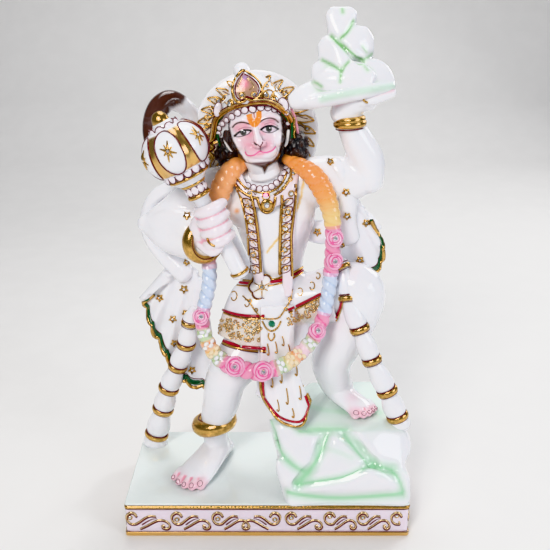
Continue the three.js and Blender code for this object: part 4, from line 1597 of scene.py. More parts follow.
@dataclass
class Body:
    """Trunk, arms and the raised hand."""

    grain: float = 0.00102

    def build(self, shop: Workshop) -> None:
        """Make the trunk with both arms, painted softly."""
        clay = Clay().limb(TRUNK, sides=30, cap=0)
        for stations in (LEFT_ARM, LEFT_FOREARM, RIGHT_ARM, RIGHT_FOREARM):
            clay.limb(stations, sides=26)
        clay.ball((-34, 2, 606), (46, 31, 42)).ball((56, 3, 608), (44, 29, 44))
        clay.ball((18, -2, 506), (44, 28, 46))
        clay.limb([(150, -4, 806, 27, 26), (166, -10, 832, 34, 34), (186, -14, 846, 40, 30)], 20)
        for k in range(4):
            root, middle = (182, -34 + 17 * k, 832, 15, 13), (212 - k, -33 + 14 * k, 838, 13, 12)
            clay.limb([root, middle, (239 - 2 * k, -31 + 12 * k, 846, 10, 9)], 12, UP)
        canvas = Canvas(clay.fuse("body", self.grain, 5))
        canvas.line([(336, 103), (352, 98), (372, 93), (392, 88)], 4, Paint.PINK, 4, 0.75)
        canvas.stain(10, 0.00004, 0.0003, Paint.PINK, 0.8 * (canvas.k[:, 2] > 815))
        canvas.glow((237, 211), 4.2, Paint.PEACH, 0.9).glow((290, 205), 26, Paint.WARM, 0.4)
        canvas.line([(303.5, 180), (301, 196), (295, 213), (283, 232), (267, 252)], 1.8, Paint.YELLOW, 0.6)
        shop.show(canvas)


@dataclass
class Fist:
    """The hand closed round the mace."""

    grain: float = 0.0006

    def build(self, shop: Workshop, box: Box) -> None:
        """Make the palm and the rolled fingers."""
        clay = Clay()
        wrist = [(-134, -46, 562, 30, 30), (-120, -60, 576, 40, 30)]
        clay.limb([*wrist, (-108, -72, 588, 42, 27), (-98, -82, 594, 36, 22)])
        for k in range(4):
            x, z = -108 + 5 * k, 639 - 21 * k
            clay.limb(
                [
                    (x - 26, -70, z - 13, 9, 11), (x - 18, -92, z - 11, 11, 12), (x - 2, -104, z - 4, 12, 12),
                    (x + 14, -99, z + 3, 12, 12), (x + 24, -84, z + 7, 10, 11),
                ],
                16,
            )
        clay.limb([(-128, -78, 560, 10, 12), (-106, -96, 552, 11, 11), (-92, -98, 560, 10, 11)], 14)
        canvas = Canvas(clay.fuse("fist", self.grain, 2))
        canvas.stain(12, 0.00005, 0.00035, Paint.PINK, 0.85)
        canvas.lay(0.18 * canvas.front, Paint.BLUSH)
        shop.show(canvas)
        line = [(207.5, 238), (208.5, 241.5), (211.5, 244.5), (215, 246)]
        box.gold.draw(shop.skins("fist"), line, 0.7)


@dataclass
class Bangles:
    """Gilt bangles and finger rings."""

    def build(self, shop: Workshop, box: Box) -> None:
        """Make both bangles and their coloured edges."""
        clay = Clay()
        raised = axes(at(163, -4, 789), Vector((-0.08, 0, 1)))
        held = axes(at(-126, -54, 559), Vector((0.55, -0.75, 0.1)))
        clay.ring(raised @ Matrix.Translation((0, 0, 0.0011)), 24.5 * SHARE, 0.0019, sides=48)
        clay.ring(raised @ Matrix.Translation((0, 0, -0.0012)), 25.2 * SHARE, 0.0022, sides=48)
        clay.ring(held, 35 * SHARE, 0.0030, flat=1.5, sides=48)
        shop.sign(clay.settle("bangles"), Finish.GOLD)
        box.maroon.line(oval(held, 34 * SHARE, 34 * SHARE, 0.0042, 40), 0.45, closed=True)
        box.maroon.line(oval(raised, 27.5 * SHARE, 27.5 * SHARE, -0.0038, 40), 0.4, closed=True)
        line = [(361, 92), (361.5, 96.5), (364.5, 101), (367.5, 102.5)]
        box.gold.draw(shop.skins("body"), line, 0.8)


@dataclass
class Mountain:
    """The mountain carried on the raised palm."""

    grain: float = 0.0009
    crease: Crease = Crease(Paint.LEAF, 2.0, 0.0009, 3.4, 1.3)

    def build(self, shop: Workshop) -> None:
        """Make the mountain with leaf green in its creases."""
        clay = Clay()
        for points in MOUNTAIN:
            clay.boulder(points)
        clay.ball((150, -30, 868), (62, 30, 26))
        canvas = Canvas(clay.fuse("mountain", self.grain, 18, 0.0009))
        canvas.stain(20, 0.00003, 0.0007, Paint.LEAF, 0.45)
        for points, width, strength in (
            ([(331, 36), (345, 48), (360, 61)], 3.2, 0.9),
            ([(354, 21), (348, 31), (341, 38)], 2.5, 0.9),
            ([(322, 60), (332, 65), (341, 70)], 2.2, 0.8),
            ([(313, 82), (317, 84), (321, 87)], 2.5, 0.7),
            ([(349, 61), (342, 70), (340, 82)], 1.6, 0.7),
            ([(342, 5), (343, 12)], 4.0, 0.6),
            ([(360, 61), (367, 58), (373, 54)], 2.5, 0.6),
            ([(362, 62), (368, 70)], 4, 0.45),
            ([(363, 46), (367, 52)], 3, 0.4),
        ):
            self.crease.cut(canvas, points, width, strength)
        canvas.line([(322, 99), (345, 94), (370, 90), (394, 86)], 5, Paint.MINT, 4, 0.4)
        shop.show(canvas)


HEAD = [
    (-4, 6, 684, 34, 32), (-8, 2, 700, 31, 30), (-11, -6, 712, 32, 30), (-12, -8, 724, 42, 38),
    (-16, -4, 748, 51, 45), (-20, 1, 780, 56, 51), (-23, 4, 808, 58, 52), (-25, 6, 836, 52, 50),
    (-26, 12, 858, 30, 30),
]
FACE = [
    (229.5, 127), (231, 118), (236, 113), (246, 110), (262, 107), (275, 110), (280.5, 117), (282, 128),
    (281, 142), (278.5, 153), (274, 160), (264, 164.8), (254, 165.2), (246.5, 162), (239, 151),
    (232.5, 139),
]


EYES = (
    (
        [
            (234.6, 136.2), (238.5, 132.9), (243, 130.7), (247.4, 130.3), (251, 131), (248.2, 134),
            (242.8, 136), (238, 136.9),
        ],
        (243.4, 132.5),
    ),
    (
        [
            (261, 129.8), (264.6, 127.4), (269, 126.1), (273.8, 126.8), (278, 129.2), (274.4, 131.6),
            (269.8, 132.7), (264.6, 132),
        ],
        (268.9, 128.9),
    ),
)
BROWS = (
    [(232.7, 127.2), (235.4, 124.2), (239.8, 122.4), (245, 122.6), (251.2, 124.6)],
    [(259.0, 122.8), (263.5, 119.6), (269.6, 118.1), (274.6, 119.2), (278.2, 122.2)],
)
MARK = [
    (246.8, 109), (248.4, 119), (251.6, 124.6), (254.7, 126.3), (257.8, 124), (260.2, 118), (260.2, 108),
]
LIP = [(248, 155), (254, 151), (260.5, 148), (267, 149), (274, 147), (268, 153), (260, 156)]
MOUTH = [
    (245.3, 152), (246.6, 154.6), (249.9, 155.8), (254.3, 155), (258, 152.4), (260.5, 151.2),
    (263.2, 152.3), (267.4, 152.3), (272.4, 150.2), (275.6, 146.8),
]
NOSTRILS = (
    [(254.2, 142.4), (256.2, 144.0), (258.6, 145.4), (260.2, 147.4)],
    [(260.6, 147.2), (261.0, 145.4), (262.6, 143.2), (262.4, 141.8)],
)


@dataclass
class Head:
    """Neck, face and ears with the painted features."""

    grain: float = 0.00034

    def _forms(self) -> Clay:
        """Gather the skull, muzzle, brows, cheeks and ears."""
        clay = Clay()
        clay.limb(HEAD, sides=40, cap=0.4)
        clay.ball((-11, -32, 738), (33, 24, 22), 28)
        clay.ball((-14, -33, 722), (24, 16, 14), 24)
        clay.ball((-27, -40, 743), (15, 15, 12), 20).ball((3, -38, 748), (15, 15, 12), 20)
        clay.limb([(-22, -46, 792, 6, 6), (-18, -53, 772, 7, 8), (-14, -61, 755, 9, 9)], 16)
        clay.ball((-20, -56, 752), (7, 8, 6), 14).ball((-6, -56, 755), (7, 8, 6), 14)
        clay.limb([(-66, -22, 786, 7, 9), (-46, -38, 797, 8, 10), (-30, -43, 793, 7, 9)], 14)
        clay.limb([(-10, -43, 797, 7, 9), (6, -40, 803, 8, 10), (26, -24, 799, 7, 9)], 14)
        clay.ball((-43, -34, 775), (16, 12, 8), 18).ball((6, -34, 783), (16, 12, 8), 18)
        clay.ball((-48, -24, 752), (20, 18, 18), 18).ball((18, -24, 760), (18, 18, 18), 18)
        clay.limb([(-72, 0, 776, 8, 8), (-77, 2, 762, 9, 9), (-76, 2, 746, 7, 8), (-68, -2, 732, 5, 6)], 14)
        clay.limb([(38, 2, 784, 8, 8), (43, 4, 770, 9, 9), (42, 4, 754, 7, 8), (36, 0, 742, 5, 6)], 14)
        return clay

    def build(self, shop: Workshop, box: Box) -> None:
        """Make the head and paint the face."""
        canvas = Canvas(self._forms().fuse("head", self.grain, 3))
        face = canvas.inside(FACE, 0.7) * canvas.front
        brim = [(u, v + 1.5) for u, v, _ in BRIM]
        above = canvas.inside([*brim, (300, 60), (205, 60)], 0.6) * canvas.front
        hair = (1 - face) * (1 - above) * (canvas.k[:, 2] > 712)
        grain = 0.5 + 0.5 * np.sin(canvas.px[:, 0] * 2.6 + np.sin(canvas.px[:, 1] * 0.9) * 1.2)
        canvas.lay(hair, Paint.BLACK).lay(hair * grain * 0.9, Paint.BROWN)
        canvas.line([(222, 140), (225.6, 144.5), (229, 149.5), (231.6, 153)], 2.6, Paint.WARM, 0.6)
        canvas.line([(288.4, 131), (287.4, 138), (286.4, 144), (286, 148)], 2.6, Paint.WARM, 0.6)
        throat = [(248, 163), (262, 168), (264.5, 174), (268, 167), (282, 158), (283, 150), (272, 161)]
        canvas.fill(throat, Paint.BROWN, canvas.k[:, 2] < 722, 1.0)
        canvas.lay(0.16 * face, Paint.BLUSH)
        self._blush(canvas)
        for outline, iris in EYES:
            self._eye(canvas, outline, iris)
        self._features(canvas)
        shop.show(canvas)
        skin = shop.skins("head")
        box.pale.draw(skin, [(229, 155), (231, 158.5), (233.5, 161.5)], 0.7)
        box.pale.draw(skin, [(286.5, 148), (288, 152), (287.5, 156)], 0.7)

    def _blush(self, canvas: Canvas) -> None:
        """Wash the muzzle, the cheeks and the lids with rose."""
        for centre, radius, strength in (
            ((237, 127), 9, 0.8), ((245, 126), 9, 0.8), ((271, 121.5), 10, 0.8), ((263, 124), 7, 0.7),
            ((249.5, 134), 9, 0.9), ((262.5, 131), 6, 0.7), ((245, 141), 12, 0.75), ((268, 138), 11, 0.6),
            ((252, 147), 13, 0.85), ((267, 146), 10, 0.8), ((254, 154), 9, 0.6), ((240, 134), 9, 0.4),
        ):
            canvas.glow(centre, radius, Paint.BLUSH, strength)
        for centre, radius, strength in (
            ((249, 134), 8, 0.85), ((245, 126.6), 8, 0.65), ((238, 128.6), 7, 0.6), ((271, 122.4), 8, 0.65),
            ((263, 124.4), 6, 0.6), ((250, 145), 11, 0.6), ((267, 146), 9, 0.6), ((259, 152), 9, 0.5),
            ((263, 133), 5, 0.5),
        ):
            canvas.glow(centre, radius, Paint.PINK, strength)

    def _eye(self, canvas: Canvas, outline: Sequence[Point], iris: Point) -> None:
        """Paint one eye.

        Args:
            canvas: The head.
            outline: Its outline, the upper lid first.
            iris: Middle of the iris.
        """
        canvas.fill(outline, Paint.LILAC, 0.9)
        inside = canvas.inside(outline, 0.5)
        canvas.dot(iris, 3.4, Paint.BLACK, 0.95, 0.6, inside).dot(iris, 2.9, Paint.IRIS, 0.9, 0.6, inside)
        canvas.dot(iris, 1.9, Paint.BLACK, 1.0, 0.5)
        canvas.line([(u, v - 0.3) for u, v in outline[:5]], 1.9, Paint.BLACK, 0.5)
        canvas.line([outline[0], *outline[:4:-1], outline[4]], 0.7, Paint.BLACK, 0.5, 0.9)
        canvas.line([(u, v - 3.1) for u, v in outline[1:5]], 0.7, Paint.MAROON, 0.6, 0.55)
        # White dot on the iris: a painted highlight, a glint of light on the eye.
        canvas.dot((iris[0] + 0.8, iris[1] - 0.9), 0.8, Paint.MARBLE, 1.0, 0.4)

    def _features(self, canvas: Canvas) -> None:
        """Paint the brows, the mark on the forehead, the mouth and the nostrils."""
        for brow in BROWS:
            canvas.line(brow, 1.25, Paint.BROWN, 0.55)
        canvas.line([(246.6, 111), (248.4, 119), (251.6, 124.6), (254.7, 126.3)], 2.2, Paint.ORANGE, 0.5)
        canvas.line([(254.7, 126.3), (257.8, 124), (260.3, 118), (260.2, 110)], 2.2, Paint.ORANGE, 0.5)
        canvas.fill(MARK, Paint.ORANGE)
        canvas.fill([(252, 110.6), (252.2, 116.8), (254.2, 120), (256.2, 116.8), (256.2, 110.4)], Paint.WARM)
        canvas.line([(254, 113.6), (254.3, 117.4)], 1.0, Paint.RED, 0.4)
        canvas.fill(LIP, Paint.BLUSH, 0.6, 1.5)
        canvas.line(MOUTH, 1.15, Paint.ROSE, 0.5)
        canvas.line([(257.6, 154.4), (260.6, 153.9), (263.4, 153.6)], 1.5, Paint.PINK, 0.7, 0.8)
        for nostril in NOSTRILS:
            canvas.line(nostril, 0.9, Paint.MAROON, 0.45)
        canvas.line([(260.2, 147), (260.6, 149.4), (260.9, 151.4)], 0.7, Paint.MAROON, 0.5, 0.8)
        canvas.line([(254.7, 143.6), (256.4, 144.9)], 1.2, Paint.BLACK, 0.4)


@dataclass
class Hair:
    """Curls beside the neck."""

    grain: float = 0.0006
    seed: int = 7

    def build(self, shop: Workshop) -> None:
        """Make both masses of curls."""
        dice = random.Random(self.seed)
        clay = Clay()
        for x, z, wide in ((-74, 722, 28), (58, 728, 24)):
            clay.ball((x, 22, z), (wide, 26, 38))
            for _ in range(70):
                turn, rise = dice.uniform(0, math.tau), dice.uniform(-0.95, 0.98)
                out = math.sqrt(1 - rise * rise)
                size = dice.uniform(4, 6.5)
                across, deep = wide * out * math.cos(turn), 26 * out * math.sin(turn)
                clay.ball((x + across, 22 + deep, z + 38 * rise), (size, size, size), 12)
        canvas = Canvas(clay.fuse("hair", self.grain, 1), Paint.BLACK)
        canvas.lay(0.35 * ramp(-hollows(canvas, 8), 0.00002, 0.0002), Paint.BROWN)
        for k in range(90):
            (left, right), (top, low) = ((213, 241), (133, 170)) if k % 2 else ((286, 310), (128, 164))
            u, v = dice.uniform(left, right), dice.uniform(top, low)
            curl = [(u, v), (u + dice.uniform(-1.6, 1.6), v + 1.8), (u + 0.4, v + 3.8)]
            canvas.line(curl, 0.2, Paint.WARM, 0.3, 0.18)
        shop.show(canvas, Finish.LOCKS)


CROWN = [
    (-24, 36, 748, 78, 36), (-25, 31, 775, 82, 45), (-26, 24, 800, 76, 56), (-28, 14, 820, 64, 62),
    (-31, 11, 836, 54, 60), (-36, 14, 852, 42, 44), (-42, 18, 866, 28, 28), (-47, 20, 876, 16, 16),
]
BRIM = [
    (211.6, 140, 22), (212.4, 134.6, 12), (214.3, 121.5, -2), (219, 114.7, -14), (227.3, 108.9, -30),
    (236.4, 105.4, -43), (248, 101.9, -54), (258, 100.6, -58), (268.8, 101, -56), (277.9, 104.8, -46),
    (285.4, 111.4, -30), (290.3, 118, -14), (292.8, 125.5, 0), (293.6, 134, 12),
]
BROW = (253.0, 138.0)
PEARLS = [
    (219, 133.4), (219.6, 128), (222.8, 123.8), (226.9, 120.1), (232.1, 116.6), (237.7, 112.8),
    (244.7, 110.2), (252.4, 109.1), (260.5, 107.4), (267.9, 107.4), (274.2, 108.9), (279.3, 111.6),
    (283.6, 114.6), (286.4, 118.6), (287.8, 122.8),
]


def placed(u: float, v: float, y: float) -> Vector:
    """The place seen at a picture point, at a depth in figure units."""
    way = SIGHT.ray(u, v)
    return SIGHT.eye + way * ((y * SHARE - SIGHT.eye.y) / way.y)


LINING = [
    (218, 133), (222, 116), (232, 108), (246, 104), (262, 102), (276, 106), (286, 113), (289, 124),
    (280, 120), (262, 108), (236, 116),
]
LEAF = [
    (242.2, 70.4), (237, 77), (233.6, 84), (232.7, 90.7), (234.4, 98), (238.6, 101.8), (243.4, 101.2),
    (246.6, 98.4), (250, 99.4), (254.6, 99.8), (258.6, 96.6), (261.2, 91), (260.6, 85), (256, 79),
    (249.6, 74),
]
PLAQUE = [
    (-38, -50, 832, 22, 8), (-38, -52, 846, 30, 9), (-39, -47, 862, 26, 9), (-43, -41, 876, 13, 8),
    (-46, -36, 889, 3, 4),
]
TEMPLE_RIGHT = [(293.6, 117), (294.6, 121), (293.4, 125), (294.8, 129), (293.6, 133), (294.6, 138)]
TEMPLE_LEFT = [
    (214, 131), (210, 135), (213.6, 139), (209, 143), (213.4, 147), (209, 151), (213, 156), (209.6, 160),
]
TEMPLE_SHADE = [
    (215.4, 131), (211.4, 135.6), (215, 139.6), (210.6, 143.6), (214.8, 147.6), (210.6, 151.6),
    (214.4, 156),
]


@dataclass
class Crown:
    """The crown with its brim, plaque, bosses and knob."""

    grain: float = 0.00056
    pearl: Pearl = Pearl((0.86, 1.0, 0.6), (0.95, 1.08, 0.0), 0.26)

    def build(self, shop: Workshop, box: Box) -> None:
        """Make the crown and its ornaments."""
        clay = Clay().limb(CROWN, sides=36, cap=0.5).ball((-48, 21, 882), (17, 17, 16), 24)
        canvas = Canvas(clay.fuse("crown", self.grain, 2))
        canvas.fill(LINING, Paint.MAROON, 0.6, 1.2)
        for points, width, paint, gilt in (
            ([(292.5, 112), (295, 118), (297, 126), (298.6, 135)], 3.0, Paint.BLUSH, 0.0),
            ([(289.6, 113), (291.8, 120), (293.4, 130), (294, 138)], 1.6, Paint.GREEN, 0.0),
            ([(291, 112), (293.4, 119), (295, 128), (296, 137)], 1.3, Paint.GOLD, 1.0),
            ([(287.6, 114), (289.4, 124), (290.6, 138)], 2.4, Paint.BLACK, 0.0),
            ([(215, 128), (215.6, 138), (218, 146)], 2.4, Paint.BLACK, 0.0),
            ([(218, 133), (219, 140), (220.6, 147)], 1.6, Paint.GREEN, 0.0),
        ):
            canvas.line(points, width, paint, gilt=gilt)
        shop.show(canvas)
        self._brim(box)
        self._pearls(shop, box)
        self._plaque(shop, box)
        self._bosses(shop, box)
        self._sides(shop, box)

    def _within(self, shift: float, lift: float = 0.0) -> list[Vector]:
        """The brim's line, moved toward the brow and lifted to the front."""
        out = []
        for u, v, y in flow(BRIM, 8):
            way = np.array([BROW[0] - u, BROW[1] - v])
            across, down = way / np.linalg.norm(way) * shift
            out.append(placed(u + across, v + down, y + abs(shift) * 0.9 - lift))
        return out

    def _brim(self, box: Box) -> None:
        """Lay the gilt, maroon and green lines of the brim."""
        within = self._within
        box.gold.line(within(0.0), 1.2)
        box.pale.line(within(-1.0, 4.0)[4:-4], 0.42)
        box.maroon.line(within(0.9, 3.6), 0.32)
        box.gold.line(within(2.5, 1.0), 0.75)
        box.maroon.line(within(-2.0), 0.4)
        box.green.line(within(4.2)[:26], 0.55)
        box.green.line(within(4.2)[-26:], 0.55)
        box.maroon.line(within(4.9), 0.5)

    def _pearls(self, shop: Workshop, box: Box) -> None:
        """Set the row of pearls under the brim."""
        skin = shop.skins("head", "crown")
        clay = Clay()
        for i, (u, v) in enumerate(PEARLS):
            hit = skin.meet(u, v)
            if hit:
                stand = axes(hit[0] + hit[1] * 0.0002, hit[1])
                self.pearl.seat(clay, box.maroon, stand, 0.00195 if 3 < i < 12 else 0.0017)
        shop.sign(clay.settle("brow_pearls"), Finish.PEARL)

    def _plaque(self, shop: Workshop, box: Box) -> None:
        """Make the leaf-shaped plaque over the brow."""
        clay = Clay().limb(PLAQUE, 24, cap=0.5)
        canvas = Canvas(clay.fuse("plaque", 0.00035, 2))
        inner, inset = (
            [(246.5 + (u - 246.5) * share, 88 + (v - 88) * share) for u, v in LEAF] for share in (0.78, 0.82)
        )
        canvas.lay(0.9 * canvas.front * canvas.inside(inner, 0.7), Paint.BRONZE, 0.45)
        canvas.glow((244.5, 84), 8, Paint.ROSE, 0.6).glow((244.8, 77.4), 4.5, Paint.VIOLET, 0.9)
        shop.show(canvas)
        skin = shop.skins("plaque", "crown")
        box.edged(skin, LEAF, 0.85, closed=True)
        box.maroon.draw(skin, inset, 0.5, closed=True)
        for side, u, v in ((1, 242.0, 95.0), (-1, 254.0, 94.4)):
            turns = [(-2.6 + 0.5 * k, 2.0 + 0.18 * k) for k in range(11)]
            box.pale.draw(skin, [(u + side * r * math.cos(a), v + r * math.sin(a)) for a, r in turns], 0.4)
            box.stone(skin, u, v, 1.25)
        box.pale.draw(skin, [(240, 91), (238, 86), (240.5, 81.5), (242, 77)], 0.34)
        box.pale.draw(skin, [(249, 90), (253.5, 87), (251, 82), (247, 78)], 0.34)

    def _bosses(self, shop: Workshop, box: Box) -> None:
        """Make the bosses of the large stones, the small stones and the feathers."""
        skin = shop.skins("crown", "halo")
        clay = Clay()
        for name, radius in (("stone_09", 1.7), ("stone_10", 1.8), ("stone_11", 1.5)):
            place, normal = seat_of(name, skin)
            profile = [(0.0027, 0.0), (0.0027, 0.0012), (0.0021, 0.0019)]
            clay.turned(profile, axes(place - normal * 0.001, normal), 20)
            box.set(place + normal * 0.0009, normal, radius * 0.95)
        shop.sign(clay.settle("crown_bosses"), Finish.GOLD)
        skin = shop.skins("crown", "halo", "head")
        for u, v, radius in (
            (222.8, 111.6, 1.1), (218.6, 100.8, 1.4), (276.7, 99.8, 1.2), (285.4, 94.2, 1.5),
            (275.8, 89.2, 1.4), (230.6, 106.2, 0.9), (207.2, 118, 1.6), (266.4, 85.4, 1.1),
            (206.4, 124.8, 1.1), (212.8, 110.6, 1.1), (212.4, 153, 1.8), (307, 128.4, 1.3), (306, 142.4, 1.2),
        ):
            box.stone(skin, u, v, radius)
        for feather in (
            [(262, 98), (264, 92), (270, 90), (274, 94), (270, 98)],
            [(270, 99), (274, 92), (281, 90), (284, 95), (280, 100)],
            [(227, 104), (223, 100), (224, 95), (230, 94)],
            [(262.6, 90), (265, 84), (270, 81), (272, 86)],
        ):
            box.edged(skin, feather, 0.4)

    def _sides(self, shop: Workshop, box: Box) -> None:
        """Make the buds, the ribbon and the lines beside the temples."""
        buds = Clay()
        for u, v, y, turn, wide, tall in (
            (217.8, 109.6, -16, 12, 0.0022, 0.0040), (283.4, 104.4, -34, -24, 0.0026, 0.0036),
            (285.6, 111.4, -26, -40, 0.0018, 0.0024),
        ):
            stand = Matrix.Translation(placed(u, v, y)) @ Matrix.Rotation(math.radians(turn), 4, "Y")
            buds.bead(stand, (wide, wide * 0.6, tall), 18, 12)
            upright = stand @ Matrix.Rotation(math.pi / 2, 4, "X")
            box.maroon.line(oval(upright, wide * 1.02, tall * 1.02, wide * 0.12, 18), 0.22, closed=True)
        shop.sign(buds.settle("crown_buds"), Finish.PEARL)
        marks = ((291.2, 109, -18), (294.4, 116, -6), (296.4, 125, 4), (298, 134, 12), (299.6, 143, 18))
        rows = track([placed(*mark) for mark in marks], 6)
        last = len(rows) - 1
        girth = Matrix.Diagonal((0.0008, 0.0008, 1, 1))
        ribbon = Clay()
        ways = [rows[min(i + 1, last)] - rows[max(i - 1, 0)] for i in range(len(rows))]
        ribbon.skin([axes(row, way) @ girth for row, way in zip(rows, ways)], 10)
        shop.show(Canvas(ribbon.settle("crown_ribbon"), Paint.PINK))
        for brush, points, y, radius in (
            (box.green, [(291.4, 117), (292, 124), (292.3, 131), (292, 138)], -8, 0.7),
            (box.gold, TEMPLE_RIGHT, -9, 0.6),
            (box.gold, TEMPLE_LEFT, 18, 0.6),
            (box.maroon, TEMPLE_SHADE, 20, 0.5),
            (box.green, [(217.6, 134), (218.6, 140), (220, 146)], 4, 0.6),
        ):
            brush.line(track([placed(u, v, y) for u, v in points], 6), radius)


FLAME = [
    (0.54, -5.4), (0.63, -6.8), (0.72, -5.0), (0.79, -0.6), (0.86, 1.6), (0.95, 8.4), (0.86, 8.4),
    (0.78, 7.6), (0.71, 5.2), (0.63, 5.2), (0.54, 5.6),
]
HEART = [(0.58, -2.6), (0.66, -3.8), (0.73, -1.8), (0.79, 2.2), (0.86, 5.0)]


@dataclass
class Halo:
    """The disc behind the head with its gilt flames."""

    centre: Vector = field(default_factory=lambda: at(-22, 88, 749))
    radius: float = 0.0366
    flames: int = 22
    skin: Surface | None = None

    def build(self, shop: Workshop, box: Box) -> None:
        """Make the disc, its flames and the nape behind it."""
        profile = [
            (0.5, -0.0040), (0.97, -0.0027), (1.0, -0.0014), (1.0, 0.0012), (0.97, 0.0024), (0.88, 0.0034),
            (0.5, 0.0042),
        ]
        clay = Clay()
        clay.turned([(self.radius * r, h) for r, h in profile], axes(self.centre, -BACK, UP), 96)
        canvas = Canvas(clay.fuse("halo", 0.0007, 1))
        canvas.lay(np.full(len(canvas.co), 0.35), Paint.WARM)
        away = np.linalg.norm((canvas.co - np.array(self.centre))[:, [0, 2]], axis=1) / self.radius
        canvas.lay(0.45 * canvas.front * ramp(-away, -0.74, -0.6), Paint.BLUSH)
        self.skin = Surface(canvas.piece)
        turns = [math.radians(-40 + k * 262 / (self.flames - 1)) for k in range(self.flames)]
        for angle in turns:
            ring = [tuple(p) for p in SIGHT.seen(self._ring(FLAME, angle))]
            canvas.lay(0.42 * canvas.front * canvas.inside(ring, 0.6), Paint.PALE_GOLD, 0.12)
        shop.show(canvas)
        nape = [(-8, 66, 640, 60, 34), (-14, 60, 720, 52, 40), (-22, 54, 806, 54, 42)]
        shop.show(Canvas(Clay().limb(nape, 28).fuse("nape", 0.0013, 2)))
        for angle in turns:
            line = track(self._ring(FLAME, angle), 4)
            box.maroon.line(line, 0.5)
            box.gold.line([p - BACK * 0.0004 for p in line], 0.44)
            box.maroon.line(track(self._ring(HEART, angle), 4), 0.24)
            box.set(self._on(0.66, angle), -BACK, 1.15, rim=False)

    def _on(self, share: float, angle: float) -> Vector:
        """A place on the disc, from a share of its radius and an angle."""
        reach = self.radius * share
        start = self.centre + Vector((reach * math.cos(angle), 0.0, reach * math.sin(angle)))
        start.y = -0.2
        hit = self.skin.along(start, BACK)
        return hit[0] + hit[1] * 0.0001 if hit else self.centre

    def _ring(self, shape: Sequence[Point], angle: float) -> list[Vector]:
        """Places of a flame's line, which leans outward on either side.

        Args:
            shape: Shares of the radius, each with its turn from the flame in degrees.
            angle: Where the flame stands.

        Returns:
            The places.
        """
        side = -1 if math.cos(angle) > 0 else 1
        return [self._on(r, angle + side * math.radians(a)) for r, a in shape]


LOBE = 0.54  # share of the head's height where its petals are widest
PETAL = (0.39, 0.295, 2.4)  # half width as an angle, half height as a share, and squareness


